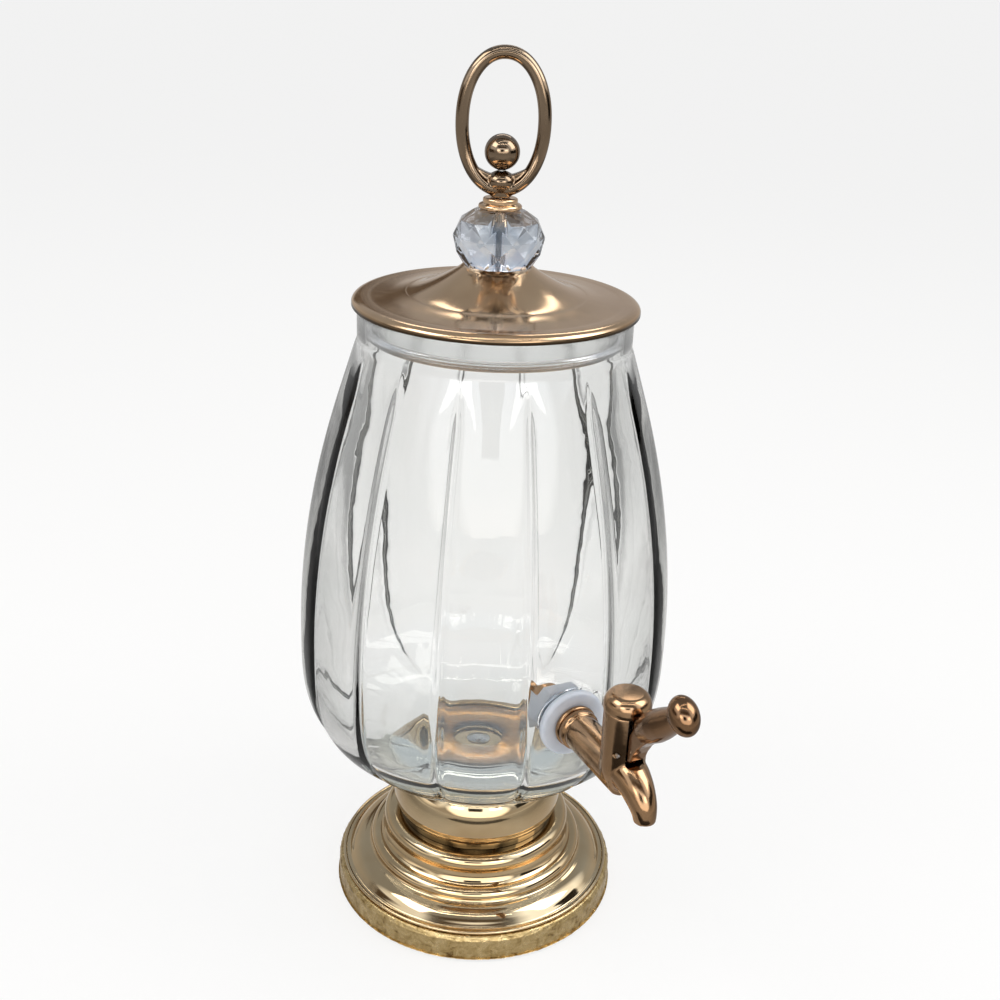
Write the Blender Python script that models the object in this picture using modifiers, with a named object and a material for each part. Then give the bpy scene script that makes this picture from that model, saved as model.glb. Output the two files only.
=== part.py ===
"""Glass drinks dispenser: a lobed jar on a spun pedestal, with a push tap and a ring-topped lid."""
import math

import bmesh
import bpy
from mathutils import Matrix, Vector

# Fits
GAP = 0.0003                  # between faces that touch on the real object
HOLE_CLEARANCE = 0.0004       # radial play of a rod in its hole

# The origin is the middle of the footprint on the table; the jar's axis stands behind it
AXIS_RIGHT = 0.0
AXIS_BEHIND = 0.03847

# Pedestal
FOOT_RADIUS = 0.0797
SKIRT_HEIGHT = 0.0152
SKIRT_WALL = 0.0015
SKIRT_FLANGE = 0.0088         # width of the skirt's turned-in top and bottom edges
SKIRT_EDGE_ROUND = 0.0030
PAD_THICKNESS = 0.0024
PAD_WIDTH = 0.0075
SKIRT_LIFT = 0.0006           # the metal stays this far off the table
BEAD_WIRE = 0.0009            # radius of the wire ring in the seam
SHEET = 0.0012                # spun sheet of the dome and the cup
DOME_RIM_RADIUS = 0.0747
DOME_HEIGHT = 0.0308          # from the skirt's top to the dome's top plate
LOWER_RING_RADIUS = 0.0606
LOWER_RING_ROUND = 0.0045
LOWER_RING_DROP = 0.0200      # centre of the lower ring below the top plate
UPPER_RING_RADIUS = 0.0530
UPPER_RING_ROUND = 0.0052
CUP_HEIGHT = 0.0310
CUP_RADIUS = 0.0476
CUP_NECK_RADIUS = 0.0440
SEAT_RADIUS = 0.0363
SEAT_DEPTH = 0.0032
SEAT_CORNER = 0.0010          # bevel between the seat and the lip
LIP_ROUND = 0.0017
BOLT_RADIUS = 0.0030
BOLT_HEAD_RADIUS = 0.0055
BOLT_HEAD_HEIGHT = 0.0017
BOLT_TAIL = 0.0030            # thread that stands past the nut
WASHER_THICKNESS = 0.0012
NUT_THICKNESS = 0.0052
CUSHION_THICKNESS = 0.0020
CUSHION_HOLE = 0.0120

# Jar
JAR_HEIGHT = 0.2642
JAR_FOOT_RADIUS = 0.0350
BELLY_RADIUS = 0.0989
BELLY_HEIGHT = 0.0880         # widest height above the jar's bottom
JAR_NECK_RADIUS = 0.0683
JAR_NECK_HEIGHT = 0.0170
JAR_WALL = 0.0058
NECK_WALL = 0.0040
JAR_FLOOR = 0.0260
JAR_FLOOR_ROUND = 0.0180      # hollow between the floor and the inner wall
JAR_LIP_ROUND = 0.0010
BOWL_FULLNESS = 3.6           # exponent of the bowl's outline
LOBES = 14
LOBE_DEPTH = 0.0026
LOBE_FADE = 0.0260            # height over which a lobe rises from the plain glass
LOBE_FOOT = 0.0080            # height of the lobes' lower ends above the jar's bottom

# Lid
LID_SHEET = 0.0010
LID_OVERHANG = 0.0027         # lid edge outside the jar's neck
LID_EDGE_WIDTH = 0.0048       # rolled edge, from the brim out
LID_EDGE_DROP = 0.0042        # from the brim down
LID_EDGE_SKIRT = 0.0012
LID_LAND = 0.0060             # flat ring of the brim, over the liner
CONE_BASE_RADIUS = 0.0455
CONE_TOP_RADIUS = 0.0174
CONE_HEIGHT = 0.0138
BRIM_RISE = 0.0021
LINER_FLANGE = 0.0028
LINER_DEPTH = 0.0150
LINER_WALL = 0.0035
LINER_PLAY = 0.0035           # liner inside the jar's mouth
SEAL_HEIGHT = 0.0032
SEAL_LEDGE = 0.0014

# Knob and finial
CRYSTAL_RADIUS = 0.0224
CRYSTAL_HEIGHT = 0.0263
CRYSTAL_SIDES = 10
STUD_RADIUS = 0.0019
STUD_HEAD_ROOM = 0.0090       # stud inside the finial ball
KNOB_WASHER_RADIUS = 0.0090
KNOB_NUT_THICKNESS = 0.0035
KNOB_NUT_RADIUS = 0.0040
FINIAL_FOOT_RADIUS = 0.0105
FINIAL_FOOT_HEIGHT = 0.0056
BULB_RADIUS = 0.0068
BULB_HEIGHT = 0.0104
FINIAL_NECK_HEIGHT = 0.0020
FINIAL_NECK_RADIUS = 0.0050
BALL_RADIUS = 0.0084
BALL_SEAT_CUT = 0.0003        # height of the flat under the ball
HOOP_HALF_WIDTH = 0.0193
HOOP_HALF_HEIGHT = 0.0312
HOOP_BAR_RADIUS = 0.0032
HOOP_SQUARENESS = 2.10        # exponent of the hoop's oval
HOOP_SADDLE = 0.60            # how much deeper the bar grows at its foot
WEB_THICKNESS = 0.0050        # web between the hoop's legs and the bulb
WEB_HEIGHT = 0.0165
WEB_DIP = 0.0065

# Tap
TAP_AZIMUTH = 26.5            # degrees to the right of the front
TAP_HEIGHT = 0.0832           # above the jar's bottom
SHANK_RADIUS = 0.0080
SHANK_END = 0.0190            # shank inside the jar's wall
SHANK_BORE = 0.0042
TAP_FLAT_INSET = 0.0015       # flat spot in the glass under the washer
INNER_FLAT_INSET = 0.0005
OUTER_WASHER_RADIUS = 0.0172
OUTER_WASHER_THICKNESS = 0.0045
FLANGE_RADIUS = 0.0108
FLANGE_THICKNESS = 0.0025
INNER_WASHER_RADIUS = 0.0140
INNER_WASHER_THICKNESS = 0.0025
TAP_NUT_RADIUS = 0.0150
TAP_NUT_THICKNESS = 0.0068
TRUNK_RADIUS = 0.0090
TRUNK_COLLAR = 0.0012          # how far the collar stands out from the trunk
TRUNK_LENGTH = 0.0410         # from the flange to the valve tower's axis
TOWER_RADIUS = 0.0104
TOWER_BORE = 0.0080
TOWER_TOP = 0.0350            # above the shank's axis
TOWER_BOTTOM = 0.0062         # below the shank's axis
VALVE_FLOOR = 0.0020          # above the shank's axis
SPOUT_ROOT_RADIUS = 0.0090
SPOUT_ROOT_RISE = 0.0050      # spout's root above the shank's axis
SPOUT_BORE = 0.0035
SPOUT_TIP_RADIUS = 0.0050
SPOUT_REACH = 0.0215          # outlet beyond the tower's axis
SPOUT_DROP = 0.0110           # outlet below the shank's axis
CAP_RADIUS = 0.0110
CAP_HEIGHT = 0.0080
CAP_ROUND = 0.0040
CAP_PLUG = 0.0015
SLOT_HALF_WIDTH = 0.0047
PIVOT_OFFSET = 0.0065         # lever pin in front of the tower's axis
PIVOT_HEIGHT = 0.0160         # above the shank's axis
PIN_RADIUS = 0.0012
HUB_RADIUS = 0.0028
LEVER_HALF_WIDTH = 0.0042
TONGUE_THICKNESS = 0.0030
ARM_RADIUS = 0.0076
ARM_ROOT_RISE = 0.0176        # arm's lower end above the pin
ARM_ROOT_OUT = 0.0099
KNOB_RADIUS = 0.0067
KNOB_LENGTH = 0.0182          # across the arm
KNOB_OUT = 0.0352             # knob centre from the pin
KNOB_UP = 0.0395
STEM_RADIUS = 0.0015
STEM_COLLAR_RADIUS = 0.0038
STEM_COLLAR_THICKNESS = 0.0015
STEM_GUIDE = 0.0095           # post inside the spring
SEAT_PLATE_RADIUS = 0.0050
SEAT_THICKNESS = 0.0022
SEAT_NOSE = 0.0016
SPRING_RADIUS = 0.0031
SPRING_WIRE = 0.00035
SPRING_TURNS = 5

# Facets
FINE_STEPS = 36
SMALL_STEPS = 20
LID_STEPS = 40
JAR_STEPS = LOBES * 4

# Heights that follow from the sizes above
SKIRT_TOP = SKIRT_HEIGHT
DOME_TOP = SKIRT_TOP + DOME_HEIGHT
CUP_FOOT = DOME_TOP + GAP
CUP_TOP = CUP_FOOT + CUP_HEIGHT
SEAT_Z = CUP_TOP - SEAT_DEPTH
CUSHION_Z = SEAT_Z + GAP
JAR_Z = CUSHION_Z + CUSHION_THICKNESS + GAP
BELLY_Z = JAR_Z + BELLY_HEIGHT
JAR_TOP = JAR_Z + JAR_HEIGHT
NECK_Z = JAR_TOP - JAR_NECK_HEIGHT
LINER_Z = JAR_TOP + GAP
LID_RADIUS = JAR_NECK_RADIUS + LID_OVERHANG
BRIM_Z = LINER_Z + LINER_FLANGE + GAP + LID_SHEET
CONE_Z = BRIM_Z + BRIM_RISE
LID_TOP = CONE_Z + CONE_HEIGHT
CRYSTAL_Z = LID_TOP + GAP
FINIAL_Z = CRYSTAL_Z + CRYSTAL_HEIGHT + GAP
BULB_Z = FINIAL_Z + FINIAL_FOOT_HEIGHT + GAP
BALL_Z = BULB_Z + FINIAL_NECK_HEIGHT + BULB_HEIGHT + GAP - BALL_SEAT_CUT + BALL_RADIUS
TAP_Z = JAR_Z + TAP_HEIGHT

# Distances from the jar's axis along the tap
JAR_OUT = BELLY_RADIUS - TAP_FLAT_INSET
JAR_IN = BELLY_RADIUS - JAR_WALL - INNER_FLAT_INSET
WASHER_X = JAR_OUT + GAP
FLANGE_X = WASHER_X + OUTER_WASHER_THICKNESS + GAP
TRUNK_X = FLANGE_X + FLANGE_THICKNESS + GAP
TOWER_X = TRUNK_X + TRUNK_LENGTH
INNER_WASHER_X = JAR_IN - GAP - INNER_WASHER_THICKNESS
TAP_NUT_X = INNER_WASHER_X - GAP - TAP_NUT_THICKNESS
PIVOT_X = TOWER_X + PIVOT_OFFSET


def clear_scene():
    for item in list(bpy.data.objects):
        bpy.data.objects.remove(item, do_unlink=True)


def new_collection(name):
    group = bpy.data.collections.new(name)
    bpy.context.scene.collection.children.link(group)
    return group


def finish(name, colour, metallic, roughness, clear=0.0):
    material = bpy.data.materials.new(name)
    material.use_nodes = True
    shader = material.node_tree.nodes["Principled BSDF"]
    shader.inputs["Base Color"].default_value = (*colour, 1.0)
    shader.inputs["Metallic"].default_value = metallic
    shader.inputs["Roughness"].default_value = roughness
    shader.inputs["Transmission Weight"].default_value = clear
    return material


def rose_gold(name):
    return finish(name, (0.80, 0.56, 0.40), 1.0, 0.18)


def light_gold(name):
    return finish(name, (0.86, 0.72, 0.47), 1.0, 0.16)


def clear_glass(name):
    return finish(name, (0.93, 0.96, 0.97), 0.0, 0.03, clear=1.0)


def silicone(name):
    return finish(name, (0.82, 0.86, 0.90), 0.0, 0.45, clear=0.4)


def plain_steel(name):
    return finish(name, (0.62, 0.62, 0.60), 1.0, 0.30)


def dark_rubber(name):
    return finish(name, (0.05, 0.05, 0.05), 0.0, 0.80)


def add_part(name, mesh, material, parent=None, location=(0.0, 0.0, 0.0)):
    part = bpy.data.objects.new(name, mesh)
    part.location = location
    part.parent = parent or jar_axis
    part.data.materials.clear()
    part.data.materials.append(material)
    parts.objects.link(part)
    return part


def add_cutter(name, mesh, parent=None):
    cutter = bpy.data.objects.new(name, mesh)
    cutter.parent = parent or jar_axis
    cutter.display_type = "WIRE"
    cutter.hide_render = True
    cutters.objects.link(cutter)
    return cutter


def smooth(mesh, angle=math.radians(35)):
    mesh.shade_smooth()
    mesh.set_sharp_from_angle(angle=angle)


def cut(part, cutter):
    modifier = part.modifiers.new("cut " + cutter.name, "BOOLEAN")
    modifier.operation = "DIFFERENCE"
    modifier.solver = "EXACT"
    modifier.object = cutter


def arc(centre_r, centre_z, radius, start, end, count):
    """Points of a round stretch of an outline; angles in degrees, 0 outward and 90 up."""
    points = []
    for step in range(count + 1):
        angle = math.radians(start + (end - start) * step / count)
        points.append((centre_r + radius * math.cos(angle), centre_z + radius * math.sin(angle)))
    return points


def outline_mesh(name, outline, closed):
    mesh = bpy.data.meshes.new(name)
    points = [(r, 0.0, z) for r, z in outline]
    edges = [(i, i + 1) for i in range(len(points) - 1)]
    if closed:
        edges.append((len(points) - 1, 0))
    mesh.from_pydata(points, edges, [])
    return mesh


def spin(part, steps):
    screw = part.modifiers.new("turned", "SCREW")
    screw.axis = "Z"
    screw.angle = 2.0 * math.pi
    screw.steps = steps
    screw.render_steps = steps
    screw.use_merge_vertices = True
    screw.merge_threshold = 0.000005
    screw.use_smooth_shade = True
    return screw


def turned(name, outline, material, steps=SMALL_STEPS, closed=True, parent=None):
    """A turned solid: a closed outline for a ring, an open one that starts and ends on the axis."""
    part = add_part(name, outline_mesh(name, outline, closed), material, parent)
    spin(part, steps)
    return part


def spun_sheet(name, outline, wall, material, steps=FINE_STEPS):
    """A shell spun from sheet: the outline is its outer face, and the wall lies inside it."""
    part = add_part(name, outline_mesh(name, outline, False), material)
    spin(part, steps)
    solidify = part.modifiers.new("sheet", "SOLIDIFY")
    solidify.thickness = wall
    solidify.offset = -1.0
    solidify.use_even_offset = True
    return part


def square_ring(inner, outer, low, high):
    """Outline of a flat ring, from its inner top edge down its outer side."""
    return [(inner, high), (outer, high), (outer, low), (inner, low)]


def along_x(mesh):
    """Lays a mesh that was made about Z along the tap's axis, so that up becomes outward."""
    mesh.transform(Matrix.Rotation(math.radians(90), 4, "Y"))


def cylinder_mesh(name, radius, low, high, sides=SMALL_STEPS):
    """A cylinder about Z between two heights."""
    shape = bmesh.new()
    bmesh.ops.create_cone(shape, cap_ends=True, segments=sides, radius1=radius, radius2=radius,
                          depth=high - low)
    bmesh.ops.translate(shape, vec=(0.0, 0.0, (high + low) / 2), verts=shape.verts)
    mesh = bpy.data.meshes.new(name)
    shape.to_mesh(mesh)
    shape.free()
    smooth(mesh)
    return mesh


def box_mesh(name, low, high):
    shape = bmesh.new()
    bmesh.ops.create_cube(shape, size=1.0)
    size = Vector(high) - Vector(low)
    centre = (Vector(high) + Vector(low)) / 2
    bmesh.ops.scale(shape, vec=size, verts=shape.verts)
    bmesh.ops.translate(shape, vec=centre, verts=shape.verts)
    mesh = bpy.data.meshes.new(name)
    shape.to_mesh(mesh)
    shape.free()
    return mesh


def tube_mesh(name, points, radius, radii=None, cyclic=False, resolution=3):
    """A closed tube along the points; radii scales it at each point."""
    curve = bpy.data.curves.new(name, "CURVE")
    curve.dimensions = "3D"
    curve.bevel_depth = radius
    curve.bevel_resolution = resolution
    curve.use_fill_caps = True
    spline = curve.splines.new("POLY")
    spline.points.add(len(points) - 1)
    spline.use_cyclic_u = cyclic
    for index, point in enumerate(points):
        spline.points[index].co = (*point, 1.0)
        spline.points[index].radius = radii[index] if radii else 1.0
    return curve_mesh(curve)


def curve_mesh(curve):
    """The curve's surface as a welded mesh; the curve is taken away."""
    holder = bpy.data.objects.new(curve.name + " path", curve)
    bpy.context.scene.collection.objects.link(holder)
    bpy.context.view_layer.update()
    evaluated = holder.evaluated_get(bpy.context.evaluated_depsgraph_get())
    mesh = bpy.data.meshes.new_from_object(evaluated)
    bpy.data.objects.remove(holder, do_unlink=True)
    weld_mesh(mesh)
    return mesh


def weld_mesh(mesh):
    shape = bmesh.new()
    shape.from_mesh(mesh)
    bmesh.ops.remove_doubles(shape, verts=shape.verts, dist=0.000002)
    bmesh.ops.recalc_face_normals(shape, faces=shape.faces)
    shape.to_mesh(mesh)
    shape.free()


def applied_mesh(part):
    """The part's mesh with its modifiers applied, welded."""
    bpy.context.view_layer.update()
    evaluated = part.evaluated_get(bpy.context.evaluated_depsgraph_get())
    mesh = bpy.data.meshes.new_from_object(evaluated)
    weld_mesh(mesh)
    return mesh


def united_mesh(name, meshes):
    """One closed body made from several overlapping closed ones."""
    base = bpy.data.objects.new(name + " body", meshes[0])
    bpy.context.scene.collection.objects.link(base)
    others = []
    for mesh in meshes[1:]:
        other = bpy.data.objects.new(mesh.name + " piece", mesh)
        bpy.context.scene.collection.objects.link(other)
        modifier = base.modifiers.new("join " + mesh.name, "BOOLEAN")
        modifier.operation = "UNION"
        modifier.solver = "EXACT"
        modifier.object = other
        others.append(other)
    result = applied_mesh(base)
    for item in [base] + others:
        bpy.data.objects.remove(item, do_unlink=True)
    result.name = name
    return result


def hex_nut(name, radius, hole, low, high):
    """A hexagon nut about Z, bored through."""
    nut = bpy.data.objects.new(name + " blank", cylinder_mesh(name, radius, low, high, sides=6))
    bore_mesh = cylinder_mesh(name, hole, low - 0.001, high + 0.001, sides=24)
    bore = bpy.data.objects.new(name + " bore", bore_mesh)
    for item in (nut, bore):
        bpy.context.scene.collection.objects.link(item)
    cut(nut, bore)
    mesh = applied_mesh(nut)
    for item in (nut, bore):
        bpy.data.objects.remove(item, do_unlink=True)
    return mesh


def ease(value):
    """A smooth step from 0 to 1."""
    value = min(max(value, 0.0), 1.0)
    return value * value * (3.0 - 2.0 * value)


# Pedestal, from the table up

def make_foot_pad():
    inner = FOOT_RADIUS - SKIRT_WALL - GAP - PAD_WIDTH
    outline = square_ring(inner, inner + PAD_WIDTH, 0.0, PAD_THICKNESS)
    turned("foot_pad_ring", outline, dark_rubber("rubber pad"), FINE_STEPS)


def make_foot_skirt():
    outer = FOOT_RADIUS
    inner = outer - SKIRT_WALL
    web = outer - SKIRT_FLANGE
    flange_low = PAD_THICKNESS + GAP
    top = SKIRT_TOP
    outline = [(web, top)]
    outline += arc(outer - SKIRT_EDGE_ROUND, top - SKIRT_EDGE_ROUND, SKIRT_EDGE_ROUND, 90, 0, 3)
    outline += [(outer, SKIRT_LIFT), (inner, SKIRT_LIFT), (inner, flange_low), (web, flange_low)]
    outline += [(web, flange_low + SHEET), (inner, flange_low + SHEET)]
    outline += [(inner, top - SKIRT_EDGE_ROUND), (outer - SKIRT_EDGE_ROUND, top - SHEET), (web, top - SHEET)]
    turned("foot_skirt", outline, light_gold("hammered gold"), FINE_STEPS)


def make_foot_bead():
    centre_z = SKIRT_TOP + GAP + BEAD_WIRE
    outline = arc(DOME_RIM_RADIUS + GAP + BEAD_WIRE, centre_z, BEAD_WIRE, 90, -198, 4)
    turned("foot_bead", outline, light_gold("gold wire"), FINE_STEPS)


def make_pedestal_dome():
    rim_z = SKIRT_TOP + GAP + SHEET
    hole = BOLT_RADIUS + HOLE_CLEARANCE
    upper_r = UPPER_RING_RADIUS - UPPER_RING_ROUND
    upper_z = DOME_TOP - UPPER_RING_ROUND
    lower_r = LOWER_RING_RADIUS - LOWER_RING_ROUND
    lower_z = DOME_TOP - LOWER_RING_DROP
    cyma_top = lower_z - LOWER_RING_ROUND * 0.45
    cyma_width = DOME_RIM_RADIUS - LOWER_RING_RADIUS
    outline = [(hole, DOME_TOP), (upper_r - UPPER_RING_ROUND, DOME_TOP)]
    outline += arc(upper_r, upper_z, UPPER_RING_ROUND, 90, -42, 4)
    outline += arc(lower_r, lower_z, LOWER_RING_ROUND, 100, -20, 4)
    outline.append((LOWER_RING_RADIUS + 0.28 * cyma_width, cyma_top + 0.02 * (rim_z - cyma_top)))
    outline.append((LOWER_RING_RADIUS + 0.50 * cyma_width, cyma_top + 0.22 * (rim_z - cyma_top)))
    outline.append((LOWER_RING_RADIUS + 0.68 * cyma_width, cyma_top + 0.56 * (rim_z - cyma_top)))
    outline.append((LOWER_RING_RADIUS + 0.82 * cyma_width, cyma_top + 0.88 * (rim_z - cyma_top)))
    outline += [(DOME_RIM_RADIUS - 0.10 * cyma_width, rim_z), (DOME_RIM_RADIUS, rim_z)]
    spun_sheet("pedestal_dome", outline, SHEET, light_gold("polished gold"))


def make_pedestal_cup():
    hole = BOLT_RADIUS + HOLE_CLEARANCE
    lip_r = SEAT_RADIUS + LIP_ROUND
    neck_z = CUP_FOOT + 0.12 * CUP_HEIGHT
    belly_z = CUP_FOOT + 0.42 * CUP_HEIGHT
    shoulder_z = CUP_TOP - LIP_ROUND
    outline = [(hole, SEAT_Z), (SEAT_RADIUS - SEAT_CORNER, SEAT_Z), (SEAT_RADIUS, SEAT_Z + SEAT_CORNER)]
    outline += arc(lip_r, shoulder_z, LIP_ROUND, 180, 60, 3)
    outline += swell(lip_r + LIP_ROUND, shoulder_z, CUP_RADIUS, belly_z, 4)
    outline += [(CUP_RADIUS, belly_z)]
    outline += list(reversed(swell(CUP_NECK_RADIUS, neck_z, CUP_RADIUS, belly_z, 3)))
    outline += [(CUP_NECK_RADIUS, neck_z), (CUP_NECK_RADIUS, CUP_FOOT)]
    spun_sheet("pedestal_cup", outline, SHEET, light_gold("polished gold cup"))


def swell(narrow_r, narrow_z, wide_r, wide_z, count):
    """Quarter of an ellipse between a narrow end and a wide one, without its two end points."""
    points = []
    for step in range(1, count):
        angle = math.radians(90.0 * step / count)
        radius = narrow_r + (wide_r - narrow_r) * math.sin(angle)
        height = wide_z + (narrow_z - wide_z) * math.cos(angle)
        points.append((radius, height))
    return points


def make_pedestal_bolt():
    head_low = SEAT_Z + GAP
    head_top = head_low + BOLT_HEAD_HEIGHT
    tail = bolt_washer_z() - GAP - NUT_THICKNESS - BOLT_TAIL
    outline = [(0.0, head_top), (0.55 * BOLT_HEAD_RADIUS, head_top)]
    outline += [(BOLT_HEAD_RADIUS, head_low + 0.4 * BOLT_HEAD_HEIGHT), (BOLT_HEAD_RADIUS, head_low)]
    outline += [(BOLT_RADIUS, head_low), (BOLT_RADIUS, tail + 0.0006)]
    outline += [(BOLT_RADIUS - 0.0006, tail), (0.0, tail)]
    turned("pedestal_bolt", outline, plain_steel("bolt steel"), 20, closed=False)


def bolt_washer_z():
    return DOME_TOP - SHEET - GAP - WASHER_THICKNESS


def make_pedestal_fasteners():
    hole = BOLT_RADIUS + HOLE_CLEARANCE
    low = bolt_washer_z()
    washer = square_ring(hole, 3.0 * BOLT_RADIUS, low, low + WASHER_THICKNESS)
    turned("pedestal_washer", washer, plain_steel("washer steel"), 24)
    nut = hex_nut("pedestal_nut", 1.95 * BOLT_RADIUS, BOLT_RADIUS + GAP, low - GAP - NUT_THICKNESS, low - GAP)
    add_part("pedestal_nut", nut, plain_steel("nut steel"))


def make_cup_cushion():
    outer = SEAT_RADIUS - SEAT_CORNER - GAP
    outline = square_ring(CUSHION_HOLE, outer, CUSHION_Z, CUSHION_Z + CUSHION_THICKNESS)
    turned("cup_cushion", outline, silicone("cushion"))


# Jar

def jar_radius(height):
    """Outer radius of the jar over the crests of its lobes."""
    if height >= NECK_Z:
        return JAR_NECK_RADIUS
    if height >= BELLY_Z:
        share = (height - BELLY_Z) / (NECK_Z - BELLY_Z)
        return BELLY_RADIUS - (BELLY_RADIUS - JAR_NECK_RADIUS) * share ** 2
    share = (BELLY_Z - height) / (BELLY_Z - JAR_Z)
    return JAR_FOOT_RADIUS + (BELLY_RADIUS - JAR_FOOT_RADIUS) * (1.0 - share ** BOWL_FULLNESS)


def lobe_strength(height):
    """How far the lobes stand at this height, from 0 to 1."""
    return ease((NECK_Z - height) / LOBE_FADE) * ease((height - JAR_Z - LOBE_FOOT) / LOBE_FADE)


def jar_outside():
    """The outer face over the crests of the lobes, from the lip down to the foot."""
    lip = JAR_LIP_ROUND
    outline = [(JAR_NECK_RADIUS - lip, JAR_TOP), (JAR_NECK_RADIUS, JAR_TOP - lip), (JAR_NECK_RADIUS, NECK_Z)]
    for step in range(1, 7):
        height = NECK_Z + (BELLY_Z - NECK_Z) * (step / 7) ** 1.15
        outline.append((jar_radius(height), height))
    bowl = 8
    for step in range(bowl):
        height = JAR_Z + (BELLY_Z - JAR_Z) * math.cos(math.radians(90.0 * step / bowl)) ** 1.1
        outline.append((jar_radius(height), height))
    outline += [(JAR_FOOT_RADIUS, JAR_Z + 0.0004), (JAR_FOOT_RADIUS - 0.0010, JAR_Z)]
    return outline


def jar_inside():
    """The smooth inner face, from the middle of the floor's edge up to the mouth."""
    floor_z = JAR_Z + JAR_FLOOR
    points = []
    heights = 6
    for step in range(heights):
        share = step / (heights - 1)
        height = floor_z + (BELLY_Z - floor_z) * share ** 1.6
        radius = jar_radius(height) - JAR_WALL - 0.35 * JAR_WALL * (1.0 - share)
        corner = max(0.0, 1.0 - (height - floor_z) / JAR_FLOOR_ROUND)
        radius -= JAR_FLOOR_ROUND * (1.0 - math.sqrt(1.0 - corner ** 2))
        points.append((radius, height))
    for step in range(1, 4):
        height = BELLY_Z + (NECK_Z - BELLY_Z) * step / 4
        points.append((jar_radius(height) - JAR_WALL, height))
    mouth = JAR_NECK_RADIUS - NECK_WALL
    points += [(mouth, NECK_Z), (mouth, JAR_TOP - JAR_LIP_ROUND), (mouth + JAR_LIP_ROUND, JAR_TOP)]
    return points


def make_glass_jar():
    material = clear_glass("clear glass")
    surface = [(0.0, JAR_Z + JAR_FLOOR)] + jar_inside() + jar_outside() + [(0.0, JAR_Z)]
    surface.reverse()
    jar = add_part("glass_jar", outline_mesh("glass_jar", surface, False), material)
    spin(jar, JAR_STEPS)
    mesh = applied_mesh(jar)
    mesh.transform(Matrix.Rotation(math.radians(TAP_AZIMUTH - 90.0), 4, "Z"))
    jar.modifiers.clear()
    jar.data = mesh
    press_lobes(mesh)
    cut(jar, tap_cutter("tap hole", SHANK_RADIUS + HOLE_CLEARANCE + GAP, JAR_IN - 0.02, JAR_OUT + 0.02))
    cut(jar, tap_cutter("tap flat", OUTER_WASHER_RADIUS + 0.0004, JAR_OUT, JAR_OUT + 0.02))
    cut(jar, tap_cutter("inner flat", INNER_WASHER_RADIUS + 0.0006, JAR_IN - 0.02, JAR_IN))


def press_lobes(mesh):
    """Moves the outer skin in between the lobes, whose crests stay where they are."""
    pitch = 2.0 * math.pi / LOBES
    tap_angle = math.radians(TAP_AZIMUTH - 90.0)
    for vertex in mesh.vertices:
        x, y, z = vertex.co
        radius = math.hypot(x, y)
        if radius < jar_radius(z) - 0.25 * JAR_WALL or z > NECK_Z or radius < JAR_FOOT_RADIUS:
            continue
        turn = (math.atan2(y, x) - tap_angle) / pitch
        across = 2.0 * (turn - math.floor(turn + 0.5))
        sunk = LOBE_DEPTH * lobe_strength(z) * across ** 2
        vertex.co.x = x * (radius - sunk) / radius
        vertex.co.y = y * (radius - sunk) / radius
    mesh.update()


def tap_cutter(name, radius, start, end):
    mesh = cylinder_mesh(name, radius, start, end, 40)
    along_x(mesh)
    return add_cutter(name, mesh, tap_frame)


# Lid, knob and finial

def make_lid_cover():
    hole = STUD_RADIUS + HOLE_CLEARANCE
    land_end = LID_RADIUS - LID_EDGE_WIDTH
    outline = [(hole, LID_TOP), (0.93 * CONE_TOP_RADIUS, LID_TOP)]
    steps = 5
    for step in range(steps + 1):
        share = step / steps
        radius = CONE_TOP_RADIUS + (CONE_BASE_RADIUS - CONE_TOP_RADIUS) * share
        drop = 1.0 - (1.0 - share) ** 1.45
        outline.append((radius, LID_TOP - 0.0006 - (CONE_HEIGHT - 0.0006) * drop))
    outline.append((land_end - LID_LAND, BRIM_Z))
    for angle in (90, 62, 34, 6):
        turn = math.radians(angle)
        drop = LID_EDGE_DROP - LID_EDGE_SKIRT
        outline.append((land_end + LID_EDGE_WIDTH * math.cos(turn), BRIM_Z - drop + drop * math.sin(turn)))
    outline.append((LID_RADIUS, BRIM_Z - LID_EDGE_DROP))
    spun_sheet("lid_cover", outline, LID_SHEET, rose_gold("rose gold"), LID_STEPS)


def make_lid_liner():
    mouth = JAR_NECK_RADIUS - NECK_WALL
    outer = mouth - LINER_PLAY
    inner = outer - LINER_WALL
    flange_r = LID_RADIUS - LID_EDGE_WIDTH
    low = LINER_Z - LINER_DEPTH
    flange_top = LINER_Z + LINER_FLANGE
    ledge = outer + 0.0015
    outline = [(inner, flange_top), (flange_r, flange_top), (flange_r, LINER_Z), (outer, LINER_Z)]
    outline += [(outer, low + SEAL_LEDGE), (ledge, low + SEAL_LEDGE), (ledge, low), (inner, low)]
    turned("lid_liner", outline, finish("clear liner", (0.86, 0.86, 0.84), 0.0, 0.3, clear=0.5), LID_STEPS)
    seal_low = low + SEAL_LEDGE + GAP
    seal = square_ring(outer + GAP, mouth - GAP, seal_low, seal_low + SEAL_HEIGHT)
    turned("lid_seal", seal, silicone("seal"), LID_STEPS)


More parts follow.
